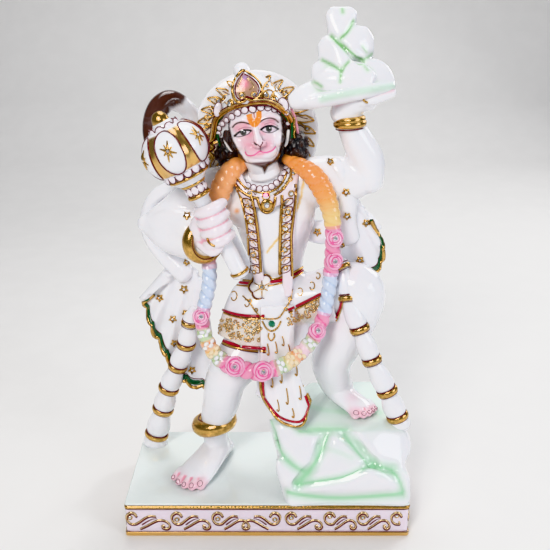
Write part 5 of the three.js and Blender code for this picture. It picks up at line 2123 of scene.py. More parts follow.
@dataclass
class Mace:
    """The mace with its lobed head."""

    tip: Vector = field(default_factory=lambda: at(-203, -78, 817))
    butt: Vector = field(default_factory=lambda: at(-49, -78, 494))
    star: Point = (166.0, 146.0)
    girth: float = 0.0186
    tall: float = 0.0290
    pearl: Pearl = Pearl((0.95, 1.1, 0.5), (1.0, 1.15, 0.06), 0.32, (14, 8))
    turn: float = 0.0

    def build(self, shop: Workshop, box: Box) -> None:
        """Make the handle, the head, the gilt rings and the pearls."""
        self.stand = axes(self.butt, self.tip - self.butt)
        self.high = high = (self.tip - self.butt).length - 0.0077
        self.low = low = high - self.tall
        profile = [
            (0.0040, 0.0), (0.0053, 0.0012), (0.0046, 0.0042), (0.00465, low - 0.0146),
            (0.0056, low - 0.0138), (0.0054, low - 0.0075), (0.0064, low - 0.0052), (0.0092, low - 0.0028),
            (0.0108, low - 0.0008), (0.0108, low + 0.002),
        ]
        shop.show(Canvas(Clay().turned(profile, self.stand, 40).settle("mace_handle")))
        turns = np.radians(np.arange(0, 360, 1))
        waist = [self._on(a, 0.52) for a in turns]
        facing = np.array([place.y for place in waist])
        reach = np.linalg.norm(SIGHT.seen(waist) - np.array(self.star), axis=1) + 400 * (facing - min(facing))
        self.turn = float(turns[int(np.argmin(reach))])
        bows = (math.pi * k / 56 for k in range(1, 56))
        profile = [(self.girth * math.sin(a) ** 0.8, low + self.tall * (1 - math.cos(a)) / 2) for a in bows]
        melon = Clay().turned(profile, self.stand, 132, self._lobe)
        profile = [(0.0062, -0.0030), (0.0064, -0.0012), (0.0057, 0.0006), (0.0050, 0.0020)]
        melon.turned([(r, high + h) for r, h in profile], self.stand, 40)
        canvas = Canvas(melon.settle("mace_head"))
        back = self.stand.inverted()
        local = np.array([back @ Vector(p) for p in canvas.co])
        angle = np.arctan2(local[:, 1], local[:, 0]) - self.turn
        off = np.abs((angle + math.pi / 6) % (math.pi / 3) - math.pi / 6)
        share = np.arccos(np.clip(1 - 2 * (local[:, 2] - low) / self.tall, -1, 1)) / math.pi
        rise = (share - LOBE) / PETAL[1]
        wide = PETAL[0] * (1 + 0.1 * rise)
        outside = ramp((off / wide) ** PETAL[2] + np.abs(rise) ** PETAL[2], 0.96, 1.04)
        canvas.lay(outside * ramp(share, 0.25, 0.26) * (1 - ramp(share, 0.80, 0.81)), Paint.GOLD, 1.0)
        shop.show(canvas)
        self._rings(shop)
        self._petals(box)
        self._pearls(shop, box)

    def _lobe(self, angle: float) -> float:
        """Scale of the head's radius at an angle."""
        return 0.93 + 0.07 * abs(math.cos(3 * (angle - self.turn))) ** 0.55

    def _on(self, angle: float, share: float, lift: float = 0.0001) -> Vector:
        """A place on the head from an angle and a share of its height."""
        a = math.pi * share
        radius = self.girth * math.sin(a) ** 0.8 * self._lobe(angle) + lift
        height = self.low + self.tall * (1 - math.cos(a)) / 2
        return self.stand @ Vector((radius * math.cos(angle), radius * math.sin(angle), height))

    def _rings(self, shop: Workshop) -> None:
        """Make the gilt rings and the knob."""
        clay = Clay()
        low, high = self.low, self.high
        for radius, tube, height in (
            (0.0108, 0.0009, low - 0.0004), (0.0060, 0.0012, low - 0.0050), (0.0056, 0.0011, low - 0.0122),
            (0.0048, 0.0009, 0.0030),
        ):
            clay.ring(self.stand @ Matrix.Translation((0, 0, height)), radius, tube)
        profile = [(0.0046, 0.0010), (0.0048, 0.0026), (0.0042, 0.0048), (0.0028, 0.0068), (0.0011, 0.0076)]
        clay.turned([(r, high + h) for r, h in profile], self.stand, 32)
        shop.sign(clay.settle("mace_rings"), Finish.GOLD)

    def _petals(self, box: Box) -> None:
        """Outline the six white petals, each with a gilt star round a stone."""
        axis = self.stand @ Vector((0, 0, self.low + self.tall / 2))
        for middle in (self.turn + math.pi * k / 3 for k in range(6)):
            petal = []
            for a in (math.tau * (n + 0.5) / 44 for n in range(44)):
                x, y = (math.copysign(abs(t) ** (2 / PETAL[2]), t) for t in (math.cos(a), math.sin(a)))
                petal.append(self._on(middle + PETAL[0] * x * (1 + 0.1 * y), LOBE + PETAL[1] * y))
            box.maroon.line(petal, 0.45, closed=True)
            for n in range(8):
                a = math.tau * n / 8 + 0.3
                across, up = 0.23 * math.cos(a), 0.13 * math.sin(a)
                reaches = np.linspace(0.2, 1.0 if n % 2 else 0.7, 5)
                ray = [self._on(middle + r * across, LOBE + 0.03 + r * up) for r in reaches]
                box.gold.line(ray, 0.8, taper=1.0)
            seat = self._on(middle, LOBE + 0.03, 0.0)
            box.set(seat, (seat - axis).normalized(), 1.35)

    def _pearls(self, shop: Workshop, box: Box) -> None:
        """Set the three rows of pearls."""
        clay = Clay()
        turned = self.stand.to_3x3()
        for count, radius, height, size in (
            (16, 0.0124, self.low + 0.0030, 0.0024), (10, 0.0054, self.low - 0.0086, 0.0022),
            (9, 0.0076, self.high - 0.0024, 0.0029),
        ):
            for a in (math.tau * (k + 0.5) / count for k in range(count)):
                out = Vector((math.cos(a), math.sin(a), 0.0))
                spot = self.stand @ (out * radius + UP * height)
                self.pearl.seat(clay, box.maroon, axes(spot, turned @ out, turned @ UP), size)
        shop.sign(clay.settle("mace_pearls"), Finish.PEARL)


TAIL = [
    (-12, 70, 378, 22, 20), (-61, 96, 470, 20, 18), (-104, 106, 560, 19, 17), (-128, 108, 640, 17, 16),
    (-136, 104, 700, 17, 16), (-142, 99, 749, 17, 16), (-153, 90, 783, 17, 16), (-170, 78, 808, 18, 17),
    (-194, 66, 820, 21, 19), (-214, 50, 810, 22, 20), (-224, 32, 787, 22, 20), (-225, 10, 762, 20, 18),
    (-220, -12, 742, 16, 15), (-208, -40, 736, 12, 12),
]


@dataclass
class Tail:
    """The tail behind the shoulder and its dark tuft."""

    def build(self, shop: Workshop) -> None:
        """Make the tail and paint the tuft."""
        canvas = Canvas(Clay().limb(TAIL, sides=28, steps=8).settle("tail"))
        tuft = [(120, 80), (180, 80), (187, 95), (182.5, 104), (170, 108), (172, 150), (120, 170)]
        canvas.lay(canvas.inside(tuft, 1.6) * (canvas.k[:, 2] > 720), Paint.BROWN)
        shop.show(canvas)


LEFT_GATHER = [(-206, 38, 462), (-190, 28, 478), (-160, 20, 474), (-138, 14, 440)]
LEFT_HEM = [
    (-254, 42, 400), (-270, 42, 385), (-264, 42, 349), (-250, 42, 308), (-235, 42, 269), (-219, 46, 237),
    (-195, 46, 196), (-150, 42, 172), (-112, 30, 176),
]
RIGHT_GATHER = [(182, 20, 640), (172, 18, 620), (162, 16, 600), (150, 14, 590)]
RIGHT_HEM = [
    (222, 40, 572), (243, 42, 530), (249, 42, 505), (244, 42, 468), (214, 40, 456), (186, 34, 452),
    (156, 28, 460),
]


@dataclass
class Fall:
    """A pleated end of the shawl."""

    name: str
    gather: Sequence[Station]
    hem: Sequence[Station]
    pleats: int
    scallops: int
    depth: float = 7.0
    wave: float = 12.0

    def _along(self, line: Sequence[Station], share: float) -> np.ndarray:
        """A place along a line from a share of its length, in figure units."""
        rows = flow(line, 12)
        run = lengths(rows)
        return np.array([np.interp(share * run[-1], run, rows[:, axis]) for axis in range(3)])

    def place(self, across: float, down: float) -> Vector:
        """A place on the cloth from its shares across and down."""
        top, low = self._along(self.gather, across), self._along(self.hem, across)
        wave = math.cos(math.tau * self.pleats * across)
        spot = top + (low - top) * down**0.92
        out = self.depth * (0.12 + 0.88 * down) * wave
        side = np.array([low[2] - top[2], 0.0, top[0] - low[0]])
        side /= max(np.linalg.norm(side), 1e-6)
        sway = 1.2 * math.sin(math.tau * self.pleats * across) * down
        spot = spot + np.array([0.0, -out, 0.0]) + side * sway
        bulge = self.wave * abs(math.sin(math.pi * self.scallops * across)) ** 0.7 - self.wave + 1.6
        spot = spot + (low - top) / max(np.linalg.norm(low - top), 1e-6) * bulge * down**7
        return at(*spot)

    def build(self, shop: Workshop, box: Box) -> None:
        """Make the cloth with its green and gold hem."""
        piece = Clay().sheet(self.place, 96, 40, 0.0042).fuse(self.name, 0.0008, 3)
        shop.show(Canvas(piece))
        skin = Surface(piece)
        for shift, brush, radius in (
            (0.0, box.gold, 1.5), (0.045, box.green, 1.1), (0.07, box.green, 1.0), (0.095, box.maroon, 0.3),
        ):
            brush.line([skin.drop(self.place(k / 108, 1.0 - shift)) for k in range(109)], radius)


@dataclass
class Shawl:
    """The shawl with its flowers."""

    grain: float = 0.001

    def build(self, shop: Workshop, box: Box) -> None:
        """Make the loops of the shawl, both falls and the flowers."""
        clay = Clay()
        for stations, sides in (
            (
                [
                    (-160, 34, 640, 12, 14), (-190, 46, 646, 16, 18), (-230, 54, 625, 17, 18),
                    (-251, 55, 582, 18, 18), (-246, 52, 538, 19, 18), (-222, 44, 504, 21, 18),
                    (-176, 26, 462, 24, 18),
                ],
                22,
            ),
            (
                [
                    (40, 60, 585, 20, 16), (74, 49, 562, 22, 15), (107, 36, 552, 26, 15),
                    (140, 28, 560, 27, 15), (165, 26, 590, 24, 14),
                ],
                22,
            ),
            (
                [
                    (128, 14, 702, 14, 18), (138, 12, 696, 20, 24), (150, 8, 672, 28, 28),
                    (158, 12, 630, 28, 26), (160, 20, 585, 26, 20), (166, 26, 540, 30, 16),
                ],
                24,
            ),
        ):
            clay.limb(stations, sides)
        shop.show(Canvas(clay.fuse("shawl", self.grain, 3)))
        Fall("left_fall", LEFT_GATHER, LEFT_HEM, 4, 8).build(shop, box)
        Fall("right_fall", RIGHT_GATHER, RIGHT_HEM, 3, 6, 6.0, 8.0).build(shop, box)
        skin = shop.skins("shawl", "left_fall", "right_fall", "body")
        for u, v, size in (
            (187, 216, 3.4), (186.5, 262.5, 2.8), (184, 289, 3.6), (160, 298, 3.2), (185.5, 313, 3.0),
            (173, 319, 3.2), (174, 343, 3.0), (192, 370, 3.2), (330.6, 162, 3.0), (346, 192, 3.4),
            (347, 216, 3.2), (366, 223, 3.2), (317.5, 232, 3.4), (342, 245, 2.2), (360, 260, 3.4),
        ):
            box.flower(skin, u, v, size)


LEFT_RIMS = [
    (-156, -20, 400, 12, 12), (-166, -14, 364, 17, 14), (-177, 7, 305, 21, 17), (-201, 28, 241, 22, 18),
    (-227, 49, 174, 24, 19), (-246, 67, 109, 25, 20), (-268, 86, 30, 28, 21), (-276, 92, -8, 28, 21),
]
RIGHT_RIMS = [
    (147, -12, 512, 12, 12), (157, -22, 494, 16, 14), (166, -40, 433, 19, 16), (194, -49, 366, 21, 17),
    (222, -53, 296, 21, 17), (258, -53, 222, 23, 18), (284, -50, 159, 24, 19), (292, -48, 128, 24, 19),
]


@dataclass
class Straps:
    """Both strings of bells."""

    swell: Sequence[Point] = (
        (-0.04, 0.62), (0.14, 0.74), (0.36, 0.92), (0.60, 1.03), (0.80, 0.99), (0.93, 0.84), (1.0, 0.84),
    )

    def build(self, shop: Workshop, box: Box) -> None:
        """Make the bells and their gilt rims."""
        white, gold = Clay(), Clay()
        for rims in (LEFT_RIMS, RIGHT_RIMS):
            for i, (upper, lower) in enumerate(zip(rims, rims[1:])):
                top, low = np.array(upper, dtype=float), np.array(lower, dtype=float)
                stations = []
                for share, scale in self.swell:
                    girth = top[3:] + (low[3:] - top[3:]) * max(share, 0)
                    stations.append([*(top + (low - top) * share)[:3], *(girth * scale)])
                white.limb(stations, 24, steps=3, cap=0.3)
                if i < len(rims) - 2:
                    self._rim(gold, box, at(*upper[:3]), lower)
        shop.show(Canvas(white.settle("bells")))
        shop.sign(gold.settle("bell_rims"), Finish.GOLD)

    def _rim(self, gold: Clay, box: Box, top: Vector, lower: Station) -> None:
        """Make the rim of one bell.

        Args:
            gold: Work that takes the rim.
            box: The brushes.
            top: Where the bell starts.
            lower: Where it ends, with its half width and half depth.
        """
        x, y, z, wide, deep = lower
        way = at(x, y, z) - top
        girth = wide * SHARE * 0.92
        stand = axes(at(x, y, z), way) @ Matrix.Diagonal((girth, deep * SHARE * 0.94, girth, 1.0))
        gold.ring(stand, 0.96, 0.17, flat=1.9, sides=36)
        for shift, radius in ((-0.0022, 0.42), (0.0020, 0.22)):
            edge = Matrix.Translation(way.normalized() * shift) @ stand
            box.maroon.line(oval(edge, 1.0, 1.0, 0.0, 28), radius, closed=True)


PANEL_LEFT = [(-12, -60, 420), (-12, -74, 341), (-14, -88, 268), (-10, -92, 237)]
PANEL_RIGHT = [(58, -56, 420), (58, -67, 349), (68, -78, 274), (82, -78, 236), (93, -81, 216)]
PANEL_HEM = [(-10, -92, 237), (2, -95, 206), (24, -99, 181), (56, -100, 160), (78, -95, 171), (93, -84, 212)]


LACE = (
    [(214, 312), (221, 310), (240, 315), (264, 317), (264, 349), (240, 346), (212, 336)],
    [(286, 311), (322, 296), (325, 318), (300, 325), (284, 327)],
)
BORDERS = (
    ([(219, 308), (228, 312), (240, 315), (252, 316), (264, 316)], 0.75),
    ([(215.6, 335.6), (224, 341), (236, 345), (250, 347.5), (265, 348.5)], 0.95),
    ([(288, 310), (300, 304.5), (311, 299), (322, 293.5)], 0.75),
    ([(343, 296), (341, 304), (338.5, 312), (335.5, 318)], 0.75),
)
DROP = [(-0.7, -1.7), (0.6, -0.6), (1.0, 0.35), (0.2, 0.62), (-1.2, 0.3)]
BELT = [(216, 272), (226, 277), (240, 280), (262, 281), (280, 278), (294, 272), (311, 262)]


@dataclass
class Skirt:
    """The skirt, its belt and the hanging panel."""

    grain: float = 0.0008
    seed: int = 3

    def build(self, shop: Workshop, box: Box) -> None:
        """Make the cloth, then its borders and gilding."""
        clay = Clay()
        clay.limb(
            [
                (19, 27, 468, 60, 52), (19, 26, 454, 68, 59), (18, 26, 442, 68, 58), (14, 22, 424, 77, 62),
                (4, 16, 390, 90, 71), (-8, 10, 335, 97, 76), (-12, 8, 316, 96, 75),
            ],
            48,
            cap=0.0,
            shape=lambda angle, share: 1 + 0.035 * share * math.cos(7 * angle + 2 * share),
        )
        clay.limb(
            [(40, 26, 402, 56, 58), (84, 20, 408, 56, 58), (118, 16, 412, 60, 60), (146, 12, 418, 64, 62)],
            48,
            cap=0.0,
            shape=lambda angle, share: 1 + 0.035 * share * math.cos(6 * angle + share),
        )
        clay.ball((15, -32, 436), (30, 16, 28), 24)
        canvas = Canvas(clay.fuse("skirt", self.grain, 2))
        lace = sum(canvas.inside(patch, 1.5) for patch in LACE)
        speck = 0.5 + 0.5 * np.sin(canvas.px[:, 0] * 1.9) * np.sin(canvas.px[:, 1] * 1.9)
        canvas.lay(canvas.front * lace * (0.12 + 0.3 * speck), Paint.PALE_GOLD, 0.4)
        shop.show(canvas)
        self.edges = [flow(line, 10) for line in (PANEL_LEFT, PANEL_RIGHT, PANEL_HEM)]
        shop.show(Canvas(Clay().sheet(self._place, 48, 60, 0.0072).fuse("panel", self.grain, 2)))
        self._borders(shop, box)
        self._loops(shop, box)
        self._belt(shop, box)
        self._buckle(shop, box)

    def _pick(self, rows: np.ndarray, share: float) -> np.ndarray:
        """A place along a line from a share of its rows."""
        spot = share * (len(rows) - 1)
        low = min(int(spot), len(rows) - 2)
        return rows[low] + (rows[low + 1] - rows[low]) * (spot - low)

    def _place(self, across: float, down: float) -> Vector:
        """A place on the panel from its shares across and down."""
        left, right, hem = self.edges
        level = self._pick(left, down) * (1 - across) + self._pick(right, down) * across
        share = down**3
        spot = level * (1 - share) + self._pick(hem, across) * share
        spot[1] -= 5 * math.cos(math.tau * 2.5 * across) * (0.4 + 0.6 * down)
        return at(*spot)

    def _borders(self, shop: Workshop, box: Box) -> None:
        """Lay the red and gilt borders of the skirt and of the panel."""
        skin = shop.skins("skirt", "panel", "legs")
        for points, radius in BORDERS:
            box.red.draw(skin, points, radius * 1.25)
            box.gold.draw(skin, [(u + 0.5, v + 2.7) for u, v in points], radius * 0.9)
        box.maroon.draw(skin, [(u + 0.6, v + 4.4) for u, v in BORDERS[1][0]], 0.3)
        skin = shop.skins("panel")
        for inset, brush, radius in ((0.0, box.gold, 1.05), (0.055, box.red, 0.95)):
            far = 1.0 - inset
            run = [(inset, s) for s in np.linspace(0.45, far, 30)]
            run += [(s, far) for s in np.linspace(inset, far, 40)]
            run += [(far, s) for s in np.linspace(far, 0.72, 16)]
            brush.line([skin.drop(self._place(*spot)) for spot in run], radius)

    def _loops(self, shop: Workshop, box: Box) -> None:
        """Lay the loops over the upper cloth, the drops of the panel and the lace."""
        skin = shop.skins("skirt", "panel")
        turns = [-2.2 + 0.5 * k for k in range(11)]
        for u, v, size in (
            (234, 296, 4.5), (220, 298, 3.5), (247, 303, 3.6), (300, 292, 3.8), (312, 286, 3.8),
            (318, 276, 3.0),
        ):
            loop = [(u + size * 0.7 * math.cos(a) * (1 - 0.06 * a), v + size * math.sin(a)) for a in turns]
            box.gold.draw(skin, loop, 0.42)
        for u, v, size in (
            (268, 352, 5), (276, 350, 5), (283, 343, 4), (289, 352, 4.5), (272, 384, 5), (281, 378, 8),
            (296, 372, 6), (287, 400, 7), (300, 396, 6), (304, 384, 5), (293, 415, 4), (278, 408, 5),
        ):
            box.gold.draw(skin, [(u + across, v + size * down) for across, down in DROP], 0.46)
        dice = random.Random(self.seed)
        for _ in range(110):
            u, v = dice.uniform(217, 262), dice.uniform(318, 343)
            if v <= 336 + (u - 217) * 0.15:
                self._curl(skin, box, u, v, dice.uniform(0, math.tau), dice.uniform(0.9, 1.6))
        for _ in range(44):
            u = dice.uniform(288, 322)
            v = 311 - (u - 288) * 0.48 + dice.uniform(4, 16)
            self._curl(skin, box, u, v, dice.uniform(0, math.tau), dice.uniform(0.9, 1.5))

    def _curl(self, skin: Surface, box: Box, u: float, v: float, turn: float, size: float) -> None:
        """Lay one curl of the lace at a picture point."""
        turns = [turn + 1.1 * k for k in range(5)]
        box.pale.draw(skin, [(u + size * math.cos(a), v + size * math.sin(a)) for a in turns], 0.5)

    def _belt(self, shop: Workshop, box: Box) -> None:
        """Lay the three lines of the belt."""
        skin = shop.skins("skirt", "body", "panel")
        for lift, brush, radius in ((0.0, box.gold, 0.7), (2.8, box.red, 1.05), (5.6, box.gold, 0.6)):
            brush.draw(skin, [(u, v + lift) for u, v in BELT], radius)

    def _buckle(self, shop: Workshop, box: Box) -> None:
        """Make the buckle with the cords and the stones that hang from it."""
        place, _ = shop.skins("skirt", "body", "panel").meet(262, 287)
        stand = axes(place, Vector((0, -0.95, 0.3)), UP)
        profile = [(0.0074, -0.002), (0.0076, 0.0006), (0.0064, 0.0019), (0.0046, 0.0028), (0.0022, 0.0034)]
        clay = Clay().turned(profile, stand, 64, self._petal)
        shop.show(Canvas(clay.settle("buckle"), Paint.WARM))
        for radius, height, brush, thick in (
            (0.0076, 0.0008, box.gold, 0.55), (0.0070, 0.0016, box.maroon, 0.3),
        ):
            rim = []
            for a in (math.tau * k / 72 for k in range(72)):
                reach = radius * self._petal(a)
                rim.append(stand @ Vector((reach * math.cos(a), reach * math.sin(a), height)))
            brush.line(rim, thick, closed=True)
        for a in (math.tau * (k + 0.5) / 6 for k in range(6)):
            rows = ((0.002, 0.0037), (0.0038, 0.0032), (0.0056, 0.0022))
            ray = [stand @ Vector((r * math.cos(a), r * math.sin(a), h)) for r, h in rows]
            box.gold.line(ray, 0.4, taper=1.0)
        box.set(stand @ Vector((0, 0, 0.0034)), (stand.to_3x3() @ UP).normalized(), 1.4)
        skin = shop.skins("skirt", "panel", "buckle")
        for points, radius in (
            ([(243, 296), (250, 303), (256, 312), (263, 318), (271, 319)], 0.6),
            ([(292, 289), (290, 300), (284, 311), (278, 318), (271, 319)], 0.6),
            ([(262, 321), (266, 328), (271.5, 331), (277, 328), (281, 321)], 0.6),
            ([(269, 333), (268.5, 337), (271.5, 340.5), (274.5, 337), (274, 333)], 0.55),
        ):
            box.gold.draw(skin, points, radius)
        box.leafy.seat(*skin.meet(271.5, 324), 2.3)
        for u, v in ((256, 310), (250, 301), (286, 309), (290, 299)):
            box.stone(skin, u, v, 1.0)

    def _petal(self, angle: float) -> float:
        """Scale of the buckle's radius at an angle."""
        return 0.88 + 0.16 * abs(math.cos(3 * angle))


GARLAND = [
    (-40, 10, 706, 12, 14), (-66, -12, 696, 20, 19), (-88, -20, 662, 22, 20), (-106, -24, 604, 18, 18),
    (-116, -38, 538, 15.5, 16), (-117, -50, 470, 15, 15.5), (-132, -57, 400, 15, 15.5),
    (-129, -64, 362, 15, 15.5), (-112, -74, 328, 16, 16), (-83, -89, 305, 17.5, 17),
    (-48, -101, 298, 18, 18), (-10, -106, 296, 18, 18), (31, -101, 307, 17, 17), (64, -90, 326, 16, 16),
    (92, -77, 352, 15.5, 16), (111, -66, 384, 15, 16), (124, -56, 435, 15, 15.5),
    (131, -46, 496, 15.5, 16), (134, -41, 566, 16, 16), (128, -36, 616, 18, 17), (112, -32, 658, 21, 18),
    (88, -25, 690, 20, 19), (42, 12, 712, 12, 14),
]


ZONES = (
    ((201, 258), Paint.ORANGE), ((201, 265), Paint.PINK), ((201, 307), Paint.BLUE),
    ((203, 327), Paint.ROSE), ((206.5, 340), Paint.LIME), ((211, 349), Paint.ORANGE),
    ((214.5, 355), Paint.YELLOW), ((222, 362), Paint.LIME), ((277, 369), Paint.ROSE),
    ((286, 361), Paint.LIME), ((294, 356), Paint.YELLOW), ((299, 352), Paint.ORANGE),
    ((304.5, 346), Paint.BLUSH), ((312, 338), Paint.LIME), ((325, 313), Paint.ROSE),
    ((333, 275), Paint.BLUE), ((334.5, 226), Paint.ROSE), ((332, 205), Paint.YELLOW),
    ((325, 188), Paint.PEACH), ((250, 150), Paint.ORANGE),
)
ROSES = (
    (201, 317, 4.9, 90), (235, 366.5, 6.0, 10), (263, 371.5, 6.0, 0), (317.5, 331, 5.0, 60),
    (334.5, 261, 4.9, 85), (335, 238.5, 4.9, 85),
)
BLOOMS = (
    (205, 333.5, Paint.MARBLE), (211, 344.5, Paint.WARM), (214.5, 352.5, Paint.PEARLY),
    (219.5, 358.6, Paint.MARBLE), (281.5, 365, Paint.MARBLE), (290.5, 358.5, Paint.PEARLY),
    (299, 352.5, Paint.PEARLY), (308.8, 343, Paint.MARBLE),
)


ROSE = [(0.9, -0.001), (1.0, 0.0008), (0.98, 0.0022), (0.82, 0.0036), (0.55, 0.0045), (0.25, 0.0048)]
WHORL = (
    (0.93, 20, 150, 1.15), (0.93, 165, 130, 1.15), (0.93, 290, 110, 1.1), (0.64, 70, 170, 1.0),
    (0.64, 250, 150, 1.0), (0.38, 0, 200, 0.8), (0.36, 190, 140, 0.7),
)


@dataclass
class Garland:
    """The garland: twisted rope, roses and beaded flowers."""

    step: float = 0.00055
    pitch: float = 0.0050

    def build(self, shop: Workshop, box: Box) -> None:
        """Make the rope, colour it along its length and set the flowers."""
        rows = flow(GARLAND, 8)
        self.places = np.array([at(*row[:3]) for row in rows])
        self.run = lengths(self.places)
        self.spots = SIGHT.seen(self.places)
        fine = np.arange(0, self.run[-1], self.step)
        stations = [tuple(np.interp(s, self.run, rows[:, c]) for c in range(5)) for s in fine]
        marks = [float(self.run[self._nearest(u, v)]) for (u, v), _ in ZONES]
        first, nape = marks[0], marks[16]
        slow = ramp(fine, first - 0.01, first) * (1 - ramp(fine, nape - 0.002, nape + 0.004))
        turns = np.cumsum(math.pi * self.step / (self.pitch + 0.0008 * slow))
        depth = 0.11 + 0.11 * slow
        last = len(fine) - 1

        def twist(angle: float, share: float) -> float:
            """Scale of the rope's section from the angle and the share of its length."""
            i = min(last, int(round(share * last)))
            return 1.04 - depth[i] * (1 - abs(math.sin(angle + turns[i]))) ** 1.3

        canvas = Canvas(Clay().limb(stations, 36, steps=1, shape=twist).settle("garland"))
        gaps = ((canvas.co[:, None, :] - self.places[None, :, :]) ** 2).sum(axis=2)
        spot = self.run[gaps.argmin(axis=1)]
        low = -1.0
        for high, (_, paint) in zip([*marks[:-1], self.run[-1] + 1], ZONES):
            soft = 0.008 if low > nape else 0.0006
            canvas.lay(ramp(spot, low - soft, low + soft), paint)
            low = high
        # Pale wash rising toward the lower end of the first stretch: partly its own paler colour there,
        # partly painted light that lifts it out of the mace's shadow.
        canvas.lay(0.2 * (spot < first) * ramp(spot, first * 0.04, first * 0.3), Paint.PEARLY)
        # Ridges of the rope lightened toward marble white, more strongly along the bright middle stretch:
        # painted highlight.
        bright = (spot > first) & (spot < nape)
        canvas.lay((0.08 + 0.22 * bright) * ramp(-hollows(canvas, 8), 0.00001, 0.00008), Paint.MARBLE)
        shop.show(canvas)
        self._roses(shop, box)
        self._blooms(shop)

    def _nearest(self, u: float, v: float) -> int:
        """Number of the rope's place that is nearest to a picture point."""
        return int(np.argmin(np.linalg.norm(self.spots - np.array([u, v]), axis=1)))

    def _roses(self, shop: Workshop, box: Box) -> None:
        """Set the roses, each with a stone in its middle."""
        skin = shop.skins("garland")
        clay, petals = Clay(), Clay()
        for u, v, size, turn in ROSES:
            hit = skin.meet(u, v)
            if not hit:
                continue
            out = (hit[1] + Vector((0, -0.8, 0.3))).normalized()
            turn = math.radians(turn)
            along = SIGHT.ray(u + math.cos(turn), v + math.sin(turn)) - SIGHT.ray(u, v)
            stand = axes(hit[0] - out * 0.0026, out, along.normalized())
            radius = size * 0.001
            clay.turned([(radius * r, h) for r, h in ROSE], stand, 40)
            for share, start, sweep, thick in WHORL:
                self._petal(petals, stand, radius, (share, start, sweep, thick), out)
            box.set(stand @ Vector((0, 0, 0.0052)), out, 1.55, rim=False)
        shop.show(Canvas(clay.settle("roses"), Paint.ROSE))
        shop.show(Canvas(petals.settle("rose_petals"), Paint.PALE_ROSE))

    def _petal(self, petals: Clay, stand: Matrix, radius: float, arc: Station, out: Vector) -> None:
        """Add one curled petal.

        Args:
            petals: Work that takes it.
            stand: The rose's frame.
            radius: The rose's radius, in metres.
            arc: Share of the radius, start and sweep in degrees, and thickness in millimetres.
            out: Way that the rose looks.
        """
        share, start, sweep, thick = arc
        places = []
        for t in (k / 16 for k in range(17)):
            a, q = math.radians(start + sweep * t), share * (1 - 0.12 * t)
            height = 0.0012 + 0.0039 * math.sqrt(max(0.0, 1 - (q * 0.97) ** 2))
            places.append(stand @ Vector((q * radius * math.cos(a), q * radius * math.sin(a), height)))
        frames = []
        for i, place in enumerate(places):
            girth = 0.75 * thick * 0.001 * (0.25 + 0.75 * math.sin(math.pi * (i + 0.4) / 16.8))
            way = places[min(i + 1, 16)] - places[max(i - 1, 0)]
            frames.append(axes(place, way, out) @ Matrix.Diagonal((girth, girth, 1, 1)))
        petals.skin(frames, 8)

    def _blooms(self, shop: Workshop) -> None:
        """Set the small flowers, four beads each."""
        skin = shop.skins("garland")
        clay = Clay()
        marks: list[tuple[Vector, Paint]] = []
        for u, v, paint in BLOOMS:
            k = self._nearest(u, v)
            way = self.spots[min(k + 2, len(self.spots) - 1)] - self.spots[max(k - 2, 0)]
            way = way / np.linalg.norm(way)
            side = np.array([-way[1], way[0]])
            for across, on in ((-4.6, -1.6), (-1.4, 1.8), (2.0, -1.8), (5.0, 1.4)):
                hit = skin.meet(*(self.spots[k] + side * across + way * on))
                if hit:
                    clay.bead(axes(*hit, Vector((way[0], 0.3, -way[1]))), (0.0017, 0.00125, 0.0011))
                    marks.append((hit[0], paint))
        canvas = Canvas(clay.settle("garland_blooms"))
        for place, paint in marks:
            reach = np.linalg.norm(canvas.co - np.array(place), axis=1)
            canvas.lay(ramp(-reach, -0.0019, -0.0018), paint)
        shop.show(canvas)


COLLAR = (
    (236, 171, 60), (238.6, 176.6, 50), (242.2, 181.6, 38), (247.4, 185.6, 26), (253.4, 187.9, 14),
    (259.6, 189, 6), (265.8, 188.6, -4), (271.6, 186.6, -18), (276.6, 183.2, -32), (280.8, 178.6, -46),
    (284, 173, -58), (286, 167.4, -66),
)
STRANDS = (
    [
        (58, -4, 700, 9, 6), (50, -24, 668, 11, 7), (32, -34, 646, 12, 7), (0, -39, 634, 13, 7),
        (-32, -36, 644, 12, 7), (-50, -24, 666, 11, 7), (-62, -2, 696, 9, 6),
    ],
    [
        (-34, -30, 646, 12, 6), (-29, -30, 590, 12, 6), (-23, -28, 540, 11, 6), (-16, -32, 470, 11, 6),
        (-12, -38, 440, 10, 6),
    ],
    [
        (50, -28, 650, 12, 6), (47, -30, 590, 12, 6), (45, -28, 540, 11, 6), (43, -32, 470, 11, 6),
        (42, -38, 440, 10, 6),
    ],
)
STRAND_LINES = (
    ([(231.2, 170), (232.2, 177), (236.4, 185.4), (243, 192), (251, 196.4), (259, 198.4)], 0.8),
    ([(290.6, 166), (291.4, 174), (288.4, 182), (282, 190.4), (274, 195.6)], 0.8),
    (
        [
            (234.6, 171), (238, 178.8), (244.6, 186.6), (254, 191.4), (265, 192.8), (274.6, 190),
            (282.6, 182.6), (287.2, 172),
        ],
        0.62,
    ),
    (
        [
            (236.5, 188), (240.4, 197), (243.4, 208), (246.6, 222), (248.4, 240), (249.4, 262),
            (250.4, 283),
        ],
        0.8,
    ),
    ([(251, 197), (253, 203), (255.4, 215), (258, 235), (259.8, 255), (260.6, 272)], 0.9),
    ([(295.4, 184), (295.4, 200), (293.4, 216), (291.2, 236), (291.6, 256), (292.2, 276)], 0.8),
    ([(281.8, 195), (281.6, 205), (280.4, 225), (279.8, 250), (279.6, 274)], 0.9),
)
FROND = [
    (-4.4, -3.8), (0.8, -3.4), (4.6, -0.4), (4.4, 3.6), (-0.6, 3.2), (-4.2, 0.4),
]
VEIN = [(-1.8, -1.6), (0.4, -0.9), (1.9, 1.6)]


